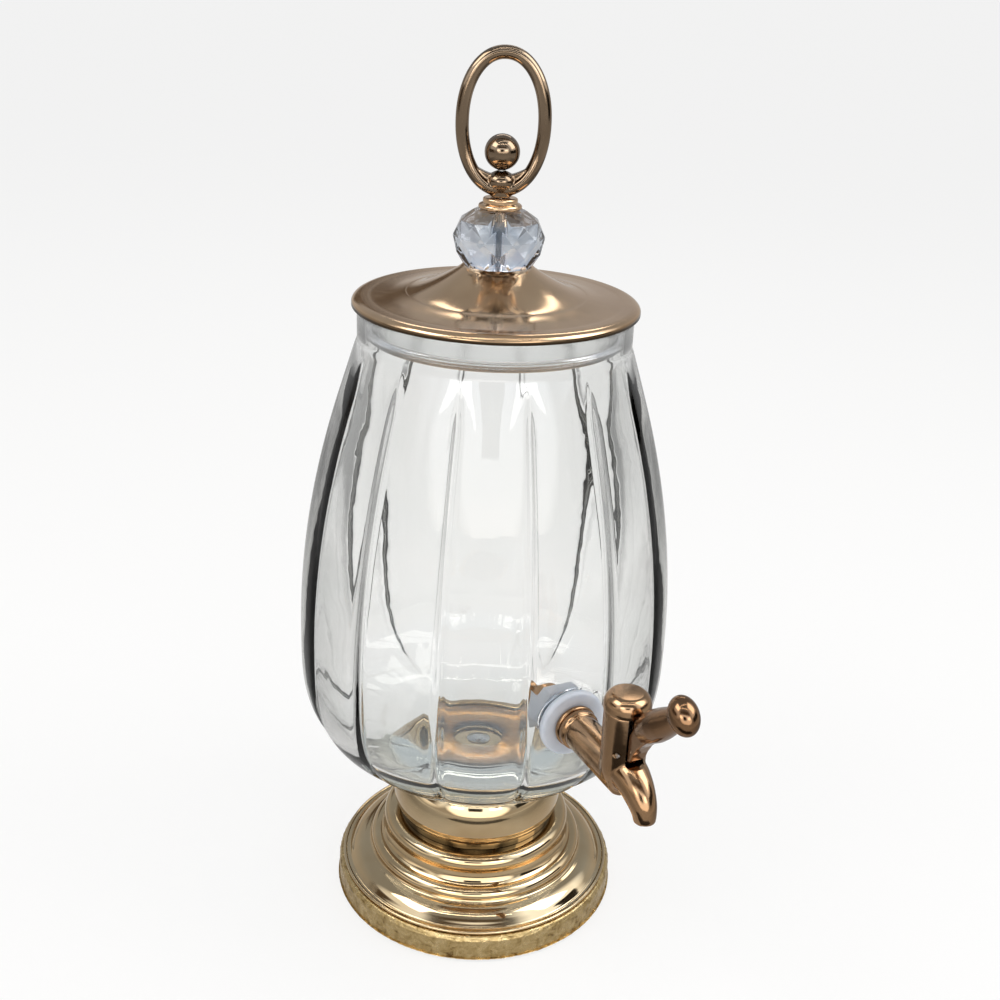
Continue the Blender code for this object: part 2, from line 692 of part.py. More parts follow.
def make_crystal_knob():
    """A cut crystal ball: staggered rings of corners under one hull, bored for the stud."""
    belts = [(0.76, 0.0, 0.0), (0.945, 0.25, 0.5), (1.0, 0.52, 0.0), (0.87, 0.82, 0.5), (0.57, 1.0, 0.0)]
    shape = bmesh.new()
    for width, rise, stagger in belts:
        for side in range(CRYSTAL_SIDES):
            angle = 2.0 * math.pi * (side + stagger) / CRYSTAL_SIDES
            radius = width * CRYSTAL_RADIUS
            corner = (radius * math.cos(angle), radius * math.sin(angle), CRYSTAL_Z + rise * CRYSTAL_HEIGHT)
            shape.verts.new(corner)
    bmesh.ops.convex_hull(shape, input=shape.verts)
    bmesh.ops.recalc_face_normals(shape, faces=shape.faces)
    mesh = bpy.data.meshes.new("crystal_knob")
    shape.to_mesh(mesh)
    shape.free()
    knob = add_part("crystal_knob", mesh, clear_glass("crystal"))
    bore = cylinder_mesh("crystal bore", STUD_RADIUS + HOLE_CLEARANCE, CRYSTAL_Z - 0.01, FINIAL_Z + 0.01, 16)
    cut(knob, add_cutter("crystal bore", bore))


def make_finial_foot():
    hole = STUD_RADIUS + HOLE_CLEARANCE
    top = FINIAL_Z + FINIAL_FOOT_HEIGHT
    step_r = 0.80 * FINIAL_FOOT_RADIUS
    step_z = FINIAL_Z + 0.52 * FINIAL_FOOT_HEIGHT
    outline = [(hole, top), (0.55 * FINIAL_FOOT_RADIUS, top), (step_r, top - 0.0010), (step_r, step_z)]
    outline += arc(FINIAL_FOOT_RADIUS - 0.0014, FINIAL_Z + 0.0014, 0.0014, 90, -60, 3)
    outline += [(FINIAL_FOOT_RADIUS - 0.0018, FINIAL_Z), (hole, FINIAL_Z)]
    turned("finial_foot", outline, rose_gold("finial foot gold"))


def hoop_points(count=32):
    """Centre line of the upright hoop, an oval squarer than an ellipse."""
    centre_z = BULB_Z + HOOP_BAR_RADIUS + HOOP_HALF_HEIGHT
    points = []
    for step in range(count):
        angle = 2.0 * math.pi * step / count
        across = math.copysign(abs(math.cos(angle)) ** (2.0 / HOOP_SQUARENESS), math.cos(angle))
        rise = math.copysign(abs(math.sin(angle)) ** (2.0 / HOOP_SQUARENESS), math.sin(angle))
        points.append((HOOP_HALF_WIDTH * across, 0.0, centre_z + HOOP_HALF_HEIGHT * rise))
    return points


def web_mesh():
    """A web with a dipped top edge that fills the foot of the hoop at both sides of the bulb."""
    hoop = hoop_points(45)
    top = BULB_Z + WEB_HEIGHT
    low_half = [point for point in hoop if point[2] < top]
    low_half.sort(key=lambda point: point[0])
    reach = low_half[-1][0]
    upper = []
    for step in range(1, 8):
        across = reach - 2.0 * reach * step / 8
        upper.append((across, top - WEB_DIP * (1.0 - (across / reach) ** 2)))
    outline = [(point[0], point[2]) for point in low_half] + upper
    curve = bpy.data.curves.new("web", "CURVE")
    curve.dimensions = "2D"
    curve.fill_mode = "BOTH"
    curve.extrude = WEB_THICKNESS / 2
    curve.resolution_u = 1
    spline = curve.splines.new("POLY")
    spline.points.add(len(outline) - 1)
    spline.use_cyclic_u = True
    for index, (across, height) in enumerate(outline):
        spline.points[index].co = (across, height, 0.0, 1.0)
    mesh = curve_mesh(curve)
    mesh.transform(Matrix.Rotation(math.radians(90), 4, "X"))
    return mesh


def make_finial_ring():
    hoop = tube_mesh("hoop", hoop_points(), HOOP_BAR_RADIUS, cyclic=True)
    saddle_top = BULB_Z + FINIAL_NECK_HEIGHT + BULB_HEIGHT + BALL_RADIUS
    for vertex in hoop.vertices:
        vertex.co.y *= 1.0 + HOOP_SADDLE * ease((saddle_top - vertex.co.z) / (saddle_top - BULB_Z))
    bulb_mid = BULB_Z + FINIAL_NECK_HEIGHT + BULB_HEIGHT / 2
    bulb_top = bulb_mid + BULB_HEIGHT / 2
    outline = [(0.0, bulb_top), (0.42 * BULB_RADIUS, bulb_top)]
    for angle in (58, 36, 14, -8, -30):
        turn = math.radians(angle)
        outline.append((BULB_RADIUS * math.cos(turn), bulb_mid + BULB_HEIGHT / 2 * math.sin(turn)))
    outline += [(FINIAL_NECK_RADIUS, BULB_Z + FINIAL_NECK_HEIGHT), (FINIAL_NECK_RADIUS, BULB_Z)]
    outline.append((0.0, BULB_Z))
    blank = turned("finial_ring", outline, rose_gold("finial gold"), 20, closed=False)
    bulb = applied_mesh(blank)
    bulb.transform(Matrix.Rotation(math.radians(5), 4, "Z"))
    blank.modifiers.clear()
    web = web_mesh()
    trim = box_mesh("under hoop", (-0.03, -0.03, BULB_Z - 0.02), (0.03, 0.03, BULB_Z))
    blank.data = united_mesh("finial_ring", [bulb, hoop, web])
    smooth(blank.data)
    bore = cylinder_mesh("hoop bore", STUD_RADIUS + HOLE_CLEARANCE, BULB_Z - 0.01, BALL_Z, 20)
    cut(blank, add_cutter("hoop foot trim", trim))
    cut(blank, add_cutter("hoop bore", bore))


def make_finial_ball():
    hole = STUD_RADIUS + HOLE_CLEARANCE
    low = BALL_Z - BALL_RADIUS + BALL_SEAT_CUT
    blind = low + STUD_HEAD_ROOM + HOLE_CLEARANCE
    first = math.degrees(math.asin((low - BALL_Z) / BALL_RADIUS))
    outline = arc(0.0, BALL_Z, BALL_RADIUS, 90, first, 9)
    outline[0] = (0.0, BALL_Z + BALL_RADIUS)
    outline += [(hole, low), (hole, blind), (0.0, blind)]
    turned("finial_ball", outline, rose_gold("ball gold"), 24, closed=False)


def knob_washer_top():
    return LID_TOP - LID_SHEET - GAP


def make_knob_fasteners():
    top = knob_washer_top()
    hole = STUD_RADIUS + HOLE_CLEARANCE
    washer = square_ring(hole, KNOB_WASHER_RADIUS, top - WASHER_THICKNESS, top)
    turned("knob_washer", washer, plain_steel("knob washer steel"), 24)
    nut_top = top - WASHER_THICKNESS - GAP
    nut = hex_nut("knob_nut", KNOB_NUT_RADIUS, STUD_RADIUS + GAP, nut_top - KNOB_NUT_THICKNESS, nut_top)
    add_part("knob_nut", nut, plain_steel("knob nut steel"))
    low = nut_top - KNOB_NUT_THICKNESS - 0.0020
    high = BALL_Z - BALL_RADIUS + BALL_SEAT_CUT + STUD_HEAD_ROOM
    bevel = 0.0004
    stud = [(0.0, high), (STUD_RADIUS - bevel, high), (STUD_RADIUS, high - bevel)]
    stud += [(STUD_RADIUS, low + bevel), (STUD_RADIUS - bevel, low), (0.0, low)]
    turned("knob_stud", stud, plain_steel("stud steel"), 20, closed=False)


# Tap, in a frame with X outward from the jar's axis and Z up, at the shank's height

def tap_ring(name, inner, outer, start, thickness, material, steps=28):
    end = start + thickness
    ease_off = 0.0005
    outline = [(inner, end), (outer - ease_off, end), (outer, end - ease_off), (outer, start + ease_off)]
    outline += [(outer - ease_off, start), (inner, start)]
    part = turned(name, outline, material, steps, parent=tap_frame)
    part.rotation_euler = (0.0, math.radians(90), 0.0)
    return part


def make_tap_washers():
    hole = SHANK_RADIUS + HOLE_CLEARANCE
    tap_ring("tap_outer_washer", hole, OUTER_WASHER_RADIUS, WASHER_X, OUTER_WASHER_THICKNESS,
             silicone("milky washer"))
    tap_ring("tap_flange", hole, FLANGE_RADIUS, FLANGE_X, FLANGE_THICKNESS, rose_gold("flange gold"))
    tap_ring("tap_inner_washer", hole, INNER_WASHER_RADIUS, INNER_WASHER_X, INNER_WASHER_THICKNESS,
             silicone("inner washer"))
    nut = hex_nut("tap_nut", TAP_NUT_RADIUS, SHANK_RADIUS + GAP, TAP_NUT_X, TAP_NUT_X + TAP_NUT_THICKNESS)
    along_x(nut)
    add_part("tap_nut", nut, finish("nut plastic", (0.80, 0.80, 0.78), 0.0, 0.4), tap_frame)


def spout_path():
    """Centre line and radius of the spout, from inside the tower down to its mouth."""
    reach = SPOUT_REACH
    stations = [(-0.0030, SPOUT_ROOT_RISE, 1.0), (0.0060, SPOUT_ROOT_RISE - 0.0004, 0.99)]
    stations += [(0.55 * reach, 0.0024, 0.90), (0.76 * reach, -0.0008, 0.80), (0.91 * reach, -0.0044, 0.70)]
    stations += [(0.985 * reach, -0.0079, 0.61), (reach, -SPOUT_DROP, SPOUT_TIP_RADIUS / SPOUT_ROOT_RADIUS)]
    points = [Vector((TOWER_X + across, 0.0, height)) for across, height, _ in stations]
    return points, [width for _, _, width in stations]


def make_tap_body():
    trunk = cylinder_mesh("trunk", TRUNK_RADIUS, TRUNK_X, TOWER_X + 0.0041, 28)
    along_x(trunk)
    shank = cylinder_mesh("shank", SHANK_RADIUS, JAR_IN - SHANK_END, TOWER_X - TOWER_RADIUS, 28)
    along_x(shank)
    collar = cylinder_mesh("collar", TRUNK_RADIUS + TRUNK_COLLAR, TRUNK_X, TRUNK_X + 0.0035, 28)
    along_x(collar)
    points, widths = spout_path()
    spout = tube_mesh("spout", points, SPOUT_ROOT_RADIUS, widths, resolution=5)
    low = -TOWER_BOTTOM
    tower_outline = [(0.0, TOWER_TOP), (TOWER_RADIUS, TOWER_TOP), (TOWER_RADIUS, low + 0.0130)]
    tower_outline += [(0.93 * TOWER_RADIUS, low + 0.0062), (0.72 * TOWER_RADIUS, low + 0.0019)]
    tower_outline += [(0.40 * TOWER_RADIUS, low), (0.0, low)]
    tower_blank = turned("tap_body", tower_outline, rose_gold("tap body gold"), 32, closed=False,
                         parent=tap_frame)
    tower = applied_mesh(tower_blank)
    tower.transform(Matrix.Rotation(math.radians(4), 4, "Z"))
    tower.transform(Matrix.Translation((TOWER_X, 0.0, 0.0)))
    tower_blank.modifiers.clear()
    tower_blank.data = united_mesh("tap_body", [tower, trunk, shank, collar, spout])
    smooth(tower_blank.data)
    for cutter in tap_body_cutters(points):
        cut(tower_blank, cutter)


def tap_body_cutters(points):
    """Bores of the shank, tower and spout, the lever's slot and the pin's hole."""
    shank = tap_cutter("shank bore", SHANK_BORE, JAR_IN - SHANK_END - 0.002, TOWER_X - TOWER_BORE + 0.0018)
    tower = cylinder_mesh("tower bore", TOWER_BORE, VALVE_FLOOR, TOWER_TOP + 0.005, 28)
    tower.transform(Matrix.Rotation(math.radians(2), 4, "Z"))
    tower.transform(Matrix.Translation((TOWER_X, 0.0, 0.0)))
    valve = [Vector((TOWER_X, 0.0, VALVE_FLOOR + 0.0013)), Vector((TOWER_X, 0.0, -0.0003))]
    valve += [Vector((TOWER_X + 0.0035, 0.0, -0.0022)), Vector((TOWER_X + 0.0110, 0.0, -0.0026))]
    run = valve + points[3:] + [points[-1] + Vector((0.0, 0.0, -0.004))]
    spout = tube_mesh("spout bore", run, SPOUT_BORE, resolution=3)
    slot = box_mesh("lever slot", (TOWER_X + 0.0031, -SLOT_HALF_WIDTH, PIVOT_HEIGHT - 0.0052),
                    (TOWER_X + 0.016, SLOT_HALF_WIDTH, TOWER_TOP + 0.0052))
    pin = cylinder_mesh("pin hole", PIN_RADIUS + GAP, -TOWER_RADIUS - 0.001, TOWER_RADIUS + 0.001, 14)
    pin.transform(Matrix.Rotation(math.radians(90), 4, "X"))
    pin.transform(Matrix.Translation((PIVOT_X, 0.0, PIVOT_HEIGHT)))
    holders = [shank]
    for mesh in (tower, spout, slot, pin):
        holders.append(add_cutter(mesh.name, mesh, tap_frame))
    return holders


def make_tap_cap():
    plug = TOWER_BORE - GAP
    low = TOWER_TOP + GAP
    top = low + CAP_HEIGHT
    outline = [(0.0, top)] + arc(CAP_RADIUS - CAP_ROUND, top - CAP_ROUND, CAP_ROUND, 90, 0, 4)
    outline += [(CAP_RADIUS, low), (plug, low), (plug, low - GAP - CAP_PLUG), (0.0, low - GAP - CAP_PLUG)]
    cap = turned("tap_cap", outline, rose_gold("cap gold"), closed=False, parent=tap_frame)
    cap.location = (TOWER_X, 0.0, 0.0)


def make_tap_lever():
    """Hub on the pin, a forked tongue under the stem's collar, a flared root, and the arm with its knob."""
    pin = Vector((PIVOT_X, 0.0, PIVOT_HEIGHT))
    hub = cylinder_mesh("hub", HUB_RADIUS, -LEVER_HALF_WIDTH, LEVER_HALF_WIDTH, 20)
    hub.transform(Matrix.Rotation(math.radians(90), 4, "X"))
    half = TONGUE_THICKNESS / 2
    tongue = box_mesh("tongue", (-PIVOT_OFFSET, -LEVER_HALF_WIDTH + 0.0001, -half),
                      (0.0005, LEVER_HALF_WIDTH - 0.0001, half))
    reach = Vector((KNOB_OUT, 0.0, KNOB_UP))
    start = Vector((ARM_ROOT_OUT, 0.0, ARM_ROOT_RISE))
    shares = (0.0, 0.30, 0.62, 1.0)
    arm_points = [start.lerp(reach, share) for share in shares]
    arm = tube_mesh("arm", arm_points, ARM_RADIUS, (0.82, 0.95, 0.92, 0.88), resolution=4)
    knob = knob_mesh(reach, reach - start)
    body = united_mesh("tap_lever", [hub, tongue, root_mesh(start), arm, knob])
    smooth(body)
    lever = add_part("tap_lever", body, rose_gold("lever gold"), tap_frame, pin)
    bore = cylinder_mesh("lever bore", PIN_RADIUS + GAP, -0.010, 0.010, 14)
    bore.transform(Matrix.Rotation(math.radians(90), 4, "X"))
    fork = box_mesh("lever fork", (-PIVOT_OFFSET - 0.002, -STEM_RADIUS - 0.0005, -0.005),
                    (-PIVOT_OFFSET + STEM_RADIUS + 0.0012, STEM_RADIUS + 0.0005, 0.005))
    for mesh in (bore, fork):
        mesh.transform(Matrix.Translation(pin))
        cut(lever, add_cutter(mesh.name, mesh, tap_frame))
    pin_mesh = cylinder_mesh("tap_lever_pin", PIN_RADIUS, -0.0077, 0.0077, 14)
    pin_mesh.transform(Matrix.Rotation(math.radians(90), 4, "X"))
    add_part("tap_lever_pin", pin_mesh, plain_steel("pin steel"), tap_frame, pin)


def root_mesh(start):
    """The lever's root: a thick fin that rises from the hub through the slot and flares into the arm."""
    back = PIVOT_OFFSET - 0.0052
    outline = [(-back, -0.0012), (0.0030, -0.0026), (0.0052, -0.0012), (0.0070, 0.0035)]
    outline += [(0.0100, 0.0085), (0.0150, 0.0140), (0.0195, 0.0190)]
    outline += [(start.x + 0.0035, start.z + 0.0072), (start.x - 0.0048, start.z - 0.0022), (-back, 0.0050)]
    shape = bmesh.new()
    ring = [shape.verts.new((across, -LEVER_HALF_WIDTH, height)) for across, height in outline]
    face = shape.faces.new(ring)
    grown = bmesh.ops.extrude_face_region(shape, geom=[face])
    moved = [item for item in grown["geom"] if isinstance(item, bmesh.types.BMVert)]
    bmesh.ops.translate(shape, vec=(0.0, 2.0 * LEVER_HALF_WIDTH - 0.0001, 0.0), verts=moved)
    bmesh.ops.translate(shape, vec=(0.0, 0.00005, 0.0), verts=shape.verts)
    bmesh.ops.recalc_face_normals(shape, faces=shape.faces)
    mesh = bpy.data.meshes.new("root")
    shape.to_mesh(mesh)
    shape.free()
    return mesh


def knob_mesh(centre, arm_direction):
    """An egg that lies across the arm."""
    shape = bmesh.new()
    bmesh.ops.create_uvsphere(shape, u_segments=20, v_segments=12, radius=KNOB_RADIUS)
    bmesh.ops.scale(shape, vec=(0.5 * KNOB_LENGTH / KNOB_RADIUS, 1.0, 1.0), verts=shape.verts)
    mesh = bpy.data.meshes.new("knob")
    shape.to_mesh(mesh)
    shape.free()
    lean = math.atan2(arm_direction.z, arm_direction.x)
    mesh.transform(Matrix.Rotation(-lean - math.radians(90), 4, "Y"))
    mesh.transform(Matrix.Translation(centre))
    return mesh


def make_tap_valve():
    """The lifting stem, its silicone seat and the spring that closes it."""
    collar_low = PIVOT_HEIGHT + TONGUE_THICKNESS / 2 + GAP
    collar_top = collar_low + STEM_COLLAR_THICKNESS
    seat_low = VALVE_FLOOR + GAP
    plate_low = seat_low + SEAT_THICKNESS + GAP
    plate_top = plate_low + 0.0015
    guide = SPRING_RADIUS - SPRING_WIRE - 2.0 * GAP
    stem = [(0.0, collar_top + STEM_GUIDE), (guide, collar_top + STEM_GUIDE), (guide, collar_top)]
    stem += [(STEM_COLLAR_RADIUS, collar_top), (STEM_COLLAR_RADIUS, collar_low), (STEM_RADIUS, collar_low)]
    stem += [(STEM_RADIUS, plate_top), (SEAT_PLATE_RADIUS, plate_top)]
    stem += [(SEAT_PLATE_RADIUS, plate_low), (0.0, plate_low)]
    part = turned("tap_stem", stem, plain_steel("stem steel"), 20, closed=False, parent=tap_frame)
    part.location = (TOWER_X, 0.0, 0.0)
    nose = SPOUT_BORE - HOLE_CLEARANCE
    seat = [(0.0, seat_low + SEAT_THICKNESS), (SEAT_PLATE_RADIUS + 0.0003, seat_low + SEAT_THICKNESS)]
    seat += [(SEAT_PLATE_RADIUS + 0.0003, seat_low), (nose, seat_low), (nose - 0.0006, seat_low - SEAT_NOSE)]
    seat += [(0.0, seat_low - SEAT_NOSE)]
    part = turned("tap_seat", seat, silicone("valve seat"), 20, closed=False, parent=tap_frame)
    part.location = (TOWER_X, 0.0, 0.0)
    low = collar_top + GAP + SPRING_WIRE
    high = TOWER_TOP - CAP_PLUG - GAP - SPRING_WIRE
    count = SPRING_TURNS * 9
    points = []
    for step in range(count + 1):
        angle = 2.0 * math.pi * SPRING_TURNS * step / count
        height = low + (high - low) * step / count
        points.append((TOWER_X + SPRING_RADIUS * math.cos(angle), SPRING_RADIUS * math.sin(angle), height))
    coil = tube_mesh("tap_spring", points, SPRING_WIRE, resolution=1)
    add_part("tap_spring", coil, plain_steel("spring steel"), tap_frame)


def make_jar_axis():
    axis = bpy.data.objects.new("jar axis", None)
    axis.location = (AXIS_RIGHT, AXIS_BEHIND, 0.0)
    parts.objects.link(axis)
    return axis


def make_tap_frame():
    frame = bpy.data.objects.new("tap frame", None)
    frame.parent = jar_axis
    frame.location = (0.0, 0.0, TAP_Z)
    frame.rotation_euler = (0.0, 0.0, math.radians(TAP_AZIMUTH - 90.0))
    parts.objects.link(frame)
    return frame


clear_scene()
parts = new_collection("drinks dispenser")
cutters = new_collection("cutters")
jar_axis = make_jar_axis()
tap_frame = make_tap_frame()
make_foot_pad()
make_foot_skirt()
make_foot_bead()
make_pedestal_dome()
make_pedestal_cup()
make_pedestal_bolt()
make_pedestal_fasteners()
make_cup_cushion()
make_glass_jar()
make_lid_cover()
make_lid_liner()
make_crystal_knob()
make_finial_foot()
make_finial_ring()
make_finial_ball()
make_knob_fasteners()
make_tap_washers()
make_tap_body()
make_tap_cap()
make_tap_lever()
make_tap_valve()
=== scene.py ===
from math import atan2, copysign, cos, degrees, exp, hypot, pi, radians, sin, sqrt

import bpy
from mathutils import Matrix, Vector, noise


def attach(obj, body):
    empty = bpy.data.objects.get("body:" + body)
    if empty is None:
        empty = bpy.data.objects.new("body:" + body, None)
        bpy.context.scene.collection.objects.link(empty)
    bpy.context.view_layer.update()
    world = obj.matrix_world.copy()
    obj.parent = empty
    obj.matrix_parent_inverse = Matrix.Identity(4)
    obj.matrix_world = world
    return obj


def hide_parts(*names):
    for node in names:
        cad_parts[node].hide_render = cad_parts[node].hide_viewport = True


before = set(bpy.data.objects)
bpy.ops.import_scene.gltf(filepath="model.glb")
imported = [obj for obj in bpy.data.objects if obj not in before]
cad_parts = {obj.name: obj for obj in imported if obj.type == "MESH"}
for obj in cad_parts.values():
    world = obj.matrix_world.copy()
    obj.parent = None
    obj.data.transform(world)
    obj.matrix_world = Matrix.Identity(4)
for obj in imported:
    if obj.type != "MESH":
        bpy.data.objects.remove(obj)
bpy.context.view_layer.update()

# Camera: it stands in front of the dispenser, a little above the lid, and looks down at it.
# Lens, tilt and roll follow the round edges of the lid, neck and foot in the photograph.
CAMERA_PLACE = (0.0, -0.58333, 0.5016)
CAMERA_LENS = 46.4256
CAMERA_SHIFT = (-0.0032, -0.002)
CAMERA_PITCH = 0.4007
CAMERA_YAW = 0.0124
CAMERA_ROLL = 0.045
GLASS_BOUNCES = 20
SEE_THROUGH_BOUNCES = 12


def new_object(name, data):
    made = bpy.data.objects.new(name, data)
    bpy.context.scene.collection.objects.link(made)
    return made


scene = bpy.context.scene
scene.camera = new_object("camera", bpy.data.cameras.new("camera"))
scene.camera.data.lens = CAMERA_LENS
scene.camera.data.shift_x, scene.camera.data.shift_y = CAMERA_SHIFT
scene.camera.matrix_world = (Matrix.Translation(CAMERA_PLACE) @ Matrix.Rotation(-CAMERA_YAW, 4, "Z")
                             @ Matrix.Rotation(pi / 2 - CAMERA_PITCH, 4, "X")
                             @ Matrix.Rotation(CAMERA_ROLL, 4, "Z"))
scene.view_settings.view_transform = "Standard"
scene.cycles.max_bounces = scene.cycles.transmission_bounces = GLASS_BOUNCES
scene.cycles.transparent_max_bounces = SEE_THROUGH_BOUNCES


# Studio floor: a wide pale table top that keeps the dispenser's shadow. To the camera, the metal
# and the glass it shows a part of its own white, so that the background stays pale.
# FLOOR_SHARE and FLOOR_GLOW are for rays from the camera, off metal and through glass.
FLOOR_SIZE = 60.0
FLOOR_DROP = 0.00005
FLOOR_TONES = [(0.0, (0.85, 0.85, 0.845)), (1.0, (0.86, 0.86, 0.855))]
WHITE = (1.0, 1.0, 1.0, 1.0)
FLOOR_SHARE = (0.76, 0.75, 0.34)
FLOOR_GLOW = (1.0, 0.54, 1.0)


def feed(tree, node, inputs):
    """Gives the node's inputs a value or a link."""
    for key, value in inputs.items():
        if isinstance(value, bpy.types.NodeSocket):
            tree.links.new(value, node.inputs[key])
        else:
            node.inputs[key].default_value = value


def add_node(tree, kind, inputs=None, **settings):
    """Adds a shader node with its settings and inputs."""
    made = tree.nodes.new(kind)
    for key, value in settings.items():
        setattr(made, key, value)
    feed(tree, made, inputs or {})
    return made


def new_material(name):
    material = bpy.data.materials.new(name)
    material.use_nodes = True
    tree = material.node_tree
    return material, tree, tree.nodes["Principled BSDF"]


def on_piece(tree):
    """The place on the piece that wears the material."""
    return add_node(tree, "ShaderNodeTexCoord").outputs["Object"]


def speckle(tree, place, fineness, detail=3.0, rough=0.5, warp=0.0):
    """A cloudy noise."""
    inputs = {"Vector": place, "Scale": fineness, "Detail": detail, "Roughness": rough, "Distortion": warp}
    return add_node(tree, "ShaderNodeTexNoise", inputs).outputs["Fac"]


def ramp(tree, factor, stops):
    """A colour ramp over the given stops of place and colour."""
    made = add_node(tree, "ShaderNodeValToRGB", {"Fac": factor})
    band = made.color_ramp
    while len(band.elements) < len(stops):
        band.elements.new(0.5)
    for element, (at, colour) in zip(band.elements, stops):
        element.position = at
        element.color = (*colour, 1.0)
    return made.outputs["Color"]


def by_ray(tree, camera, mirrored, through, other=0.0):
    """A value that differs for rays from the camera, rays that metal or glass mirrors, and rays
    through glass."""
    rays = add_node(tree, "ShaderNodeLightPath")
    value = other
    for ray, strength in (("Is Glossy Ray", mirrored), ("Is Transmission Ray", through),
                          ("Is Camera Ray", camera)):
        inputs = {0: rays.outputs[ray], 2: value, 3: strength}
        value = add_node(tree, "ShaderNodeMix", inputs, data_type="FLOAT").outputs[0]
    return value


def blend(tree, share, first, second):
    """Mixes two surfaces and gives the material the mixture."""
    mixed = add_node(tree, "ShaderNodeMixShader", {0: share, 1: first, 2: second})
    feed(tree, tree.nodes["Material Output"], {"Surface": mixed.outputs[0]})


def put(piece, material):
    piece.data.materials.clear()
    piece.data.materials.append(material)


def new_shape(primitive, name, turn=(0.0, 0.0, 0.0), **settings):
    """Adds a primitive with nothing else selected; the turn is in degrees."""
    bpy.ops.object.select_all(action="DESELECT")
    primitive(rotation=[radians(angle) for angle in turn], **settings)
    made = bpy.context.active_object
    made.name = name
    return made


floor = new_shape(bpy.ops.mesh.primitive_plane_add, "floor", size=FLOOR_SIZE,
                  location=(0.0, 0.0, -FLOOR_DROP))
material, tree, shader = new_material("table top")
grain = speckle(tree, on_piece(tree), 6.0, 2.0)
feed(tree, shader, {"Base Color": ramp(tree, grain, FLOOR_TONES), "Roughness": 0.9,
                    "Specular IOR Level": 0.1})
glow = add_node(tree, "ShaderNodeEmission", {"Color": WHITE, "Strength": by_ray(tree, *FLOOR_GLOW)})
blend(tree, by_ray(tree, *FLOOR_SHARE), shader.outputs[0], glow.outputs[0])
put(floor, material)


# Studio light: a pale world that darkens towards the ceiling, soft boxes above and in front, and
# thin strips that draw lines on the glass. Dark cards that only metal and glass see stand and lie
# round the dispenser, as a photographer sets them to show its edges.
WORLD_STRENGTH = 0.6
WORLD_TO_CAMERA = 0.88
WORLD_THROUGH_GLASS = 0.9
MIRRORED_STRENGTHS = (0.5, 0.4)
MIRRORED_RISE = (0.05, 0.6)
MIRRORED_TONES = [(0.0, (1.0, 0.96, 0.91)), (1.0, (0.9, 0.98, 1.1))]
WORLD_TONE = (1.0, 0.995, 0.985, 1.0)
LAMP_TONE = (1.0, 0.98, 0.95)
LAMPS_AIM = (0.0, 0.03, 0.2)
# A bright window for metal and glass: its direction, its squeeze from left to right, the cosines at
# which it begins and is whole, and its strength
WINDOWS = (
    ((0.04, -0.94, 0.34), 0.55, 0.89, 0.93, 2.2),
    ((0.78, -0.1, 0.6), 1.0, 0.82, 0.93, 1.4),
    ((-0.8, -0.35, 0.46), 1.0, 0.88, 0.95, 1.0),
)
# Name, place, width, height, power
SOFT_BOXES = (
    ("left soft box", (-0.95, -0.35, 1.35), 0.8, 0.6, 7.0),
    ("right soft box", (1.0, -0.1, 1.2), 0.7, 0.9, 7.0),
    ("back strip", (0.1, 1.4, 1.5), 1.2, 0.22, 2.5),
    ("left front box", (-0.62, -1.25, 0.8), 0.42, 0.26, 1.3),
    ("right front box", (0.66, -1.25, 0.8), 0.42, 0.26, 1.3),
    ("first strip", (0.0, -0.7, 1.55), 1.5, 0.035, 1.6),
    ("second strip", (0.1, -0.25, 1.75), 1.5, 0.035, 1.6),
)
# Dark tone, light tone, and where the rim begins to fade, from the middle to the edge at 0.5
CARD_TONES = {
    "black": ((0.012, 0.011, 0.01), (0.03, 0.026, 0.022), 0.46),
    "grey": ((0.19, 0.19, 0.19), (0.25, 0.25, 0.25), 0.2),
    "brown": ((0.1, 0.075, 0.055), (0.14, 0.11, 0.08), 0.25),
}
# Name, tone, place, size, and how far it is tilted and swung round
CARDS = (
    ("front card", "black", (-0.02, -1.4, 0.78), (0.52, 0.4), (64.0, 0.0)),
    ("high card", "brown", (0.0, -1.1, 1.25), (2.2, 0.5), (48.0, 0.0)),
    ("back card", "brown", (-0.47, 1.55, 0.74), (0.8, 0.55), (80.0, 0.0)),
    ("low card", "black", (0.03, -0.31, 0.0015), (0.46, 0.18), (0.0, 0.0)),
    ("left card", "brown", (-1.3, -0.35, 0.55), (1.3, 0.5), (72.0, -75.0)),
    ("right card", "black", (1.35, -0.3, 0.5), (1.2, 0.42), (75.0, 78.0)),
    ("left floor card", "grey", (-0.55, 0.45, 0.0012), (0.8, 2.2), (0.0, 9.0)),
    ("right floor card", "grey", (0.58, 0.45, 0.0012), (0.8, 2.2), (0.0, -9.0)),
)


def spread(tree, factor, low, high, start=0.3, end=0.7):
    """Turns the range from start to end, such as a noise's middle, into low to high."""
    inputs = {"Value": factor, "From Min": start, "From Max": end, "To Min": low, "To Max": high}
    return add_node(tree, "ShaderNodeMapRange", inputs).outputs["Result"]


def reckon(tree, operation, *values):
    """One step of arithmetic on numbers."""
    return add_node(tree, "ShaderNodeMath", dict(enumerate(values)), operation=operation).outputs[0]


def reckon_way(tree, operation, *values, output="Vector"):
    """One step of arithmetic on a place or a direction."""
    made = add_node(tree, "ShaderNodeVectorMath", dict(enumerate(values)), operation=operation)
    return made.outputs[output]


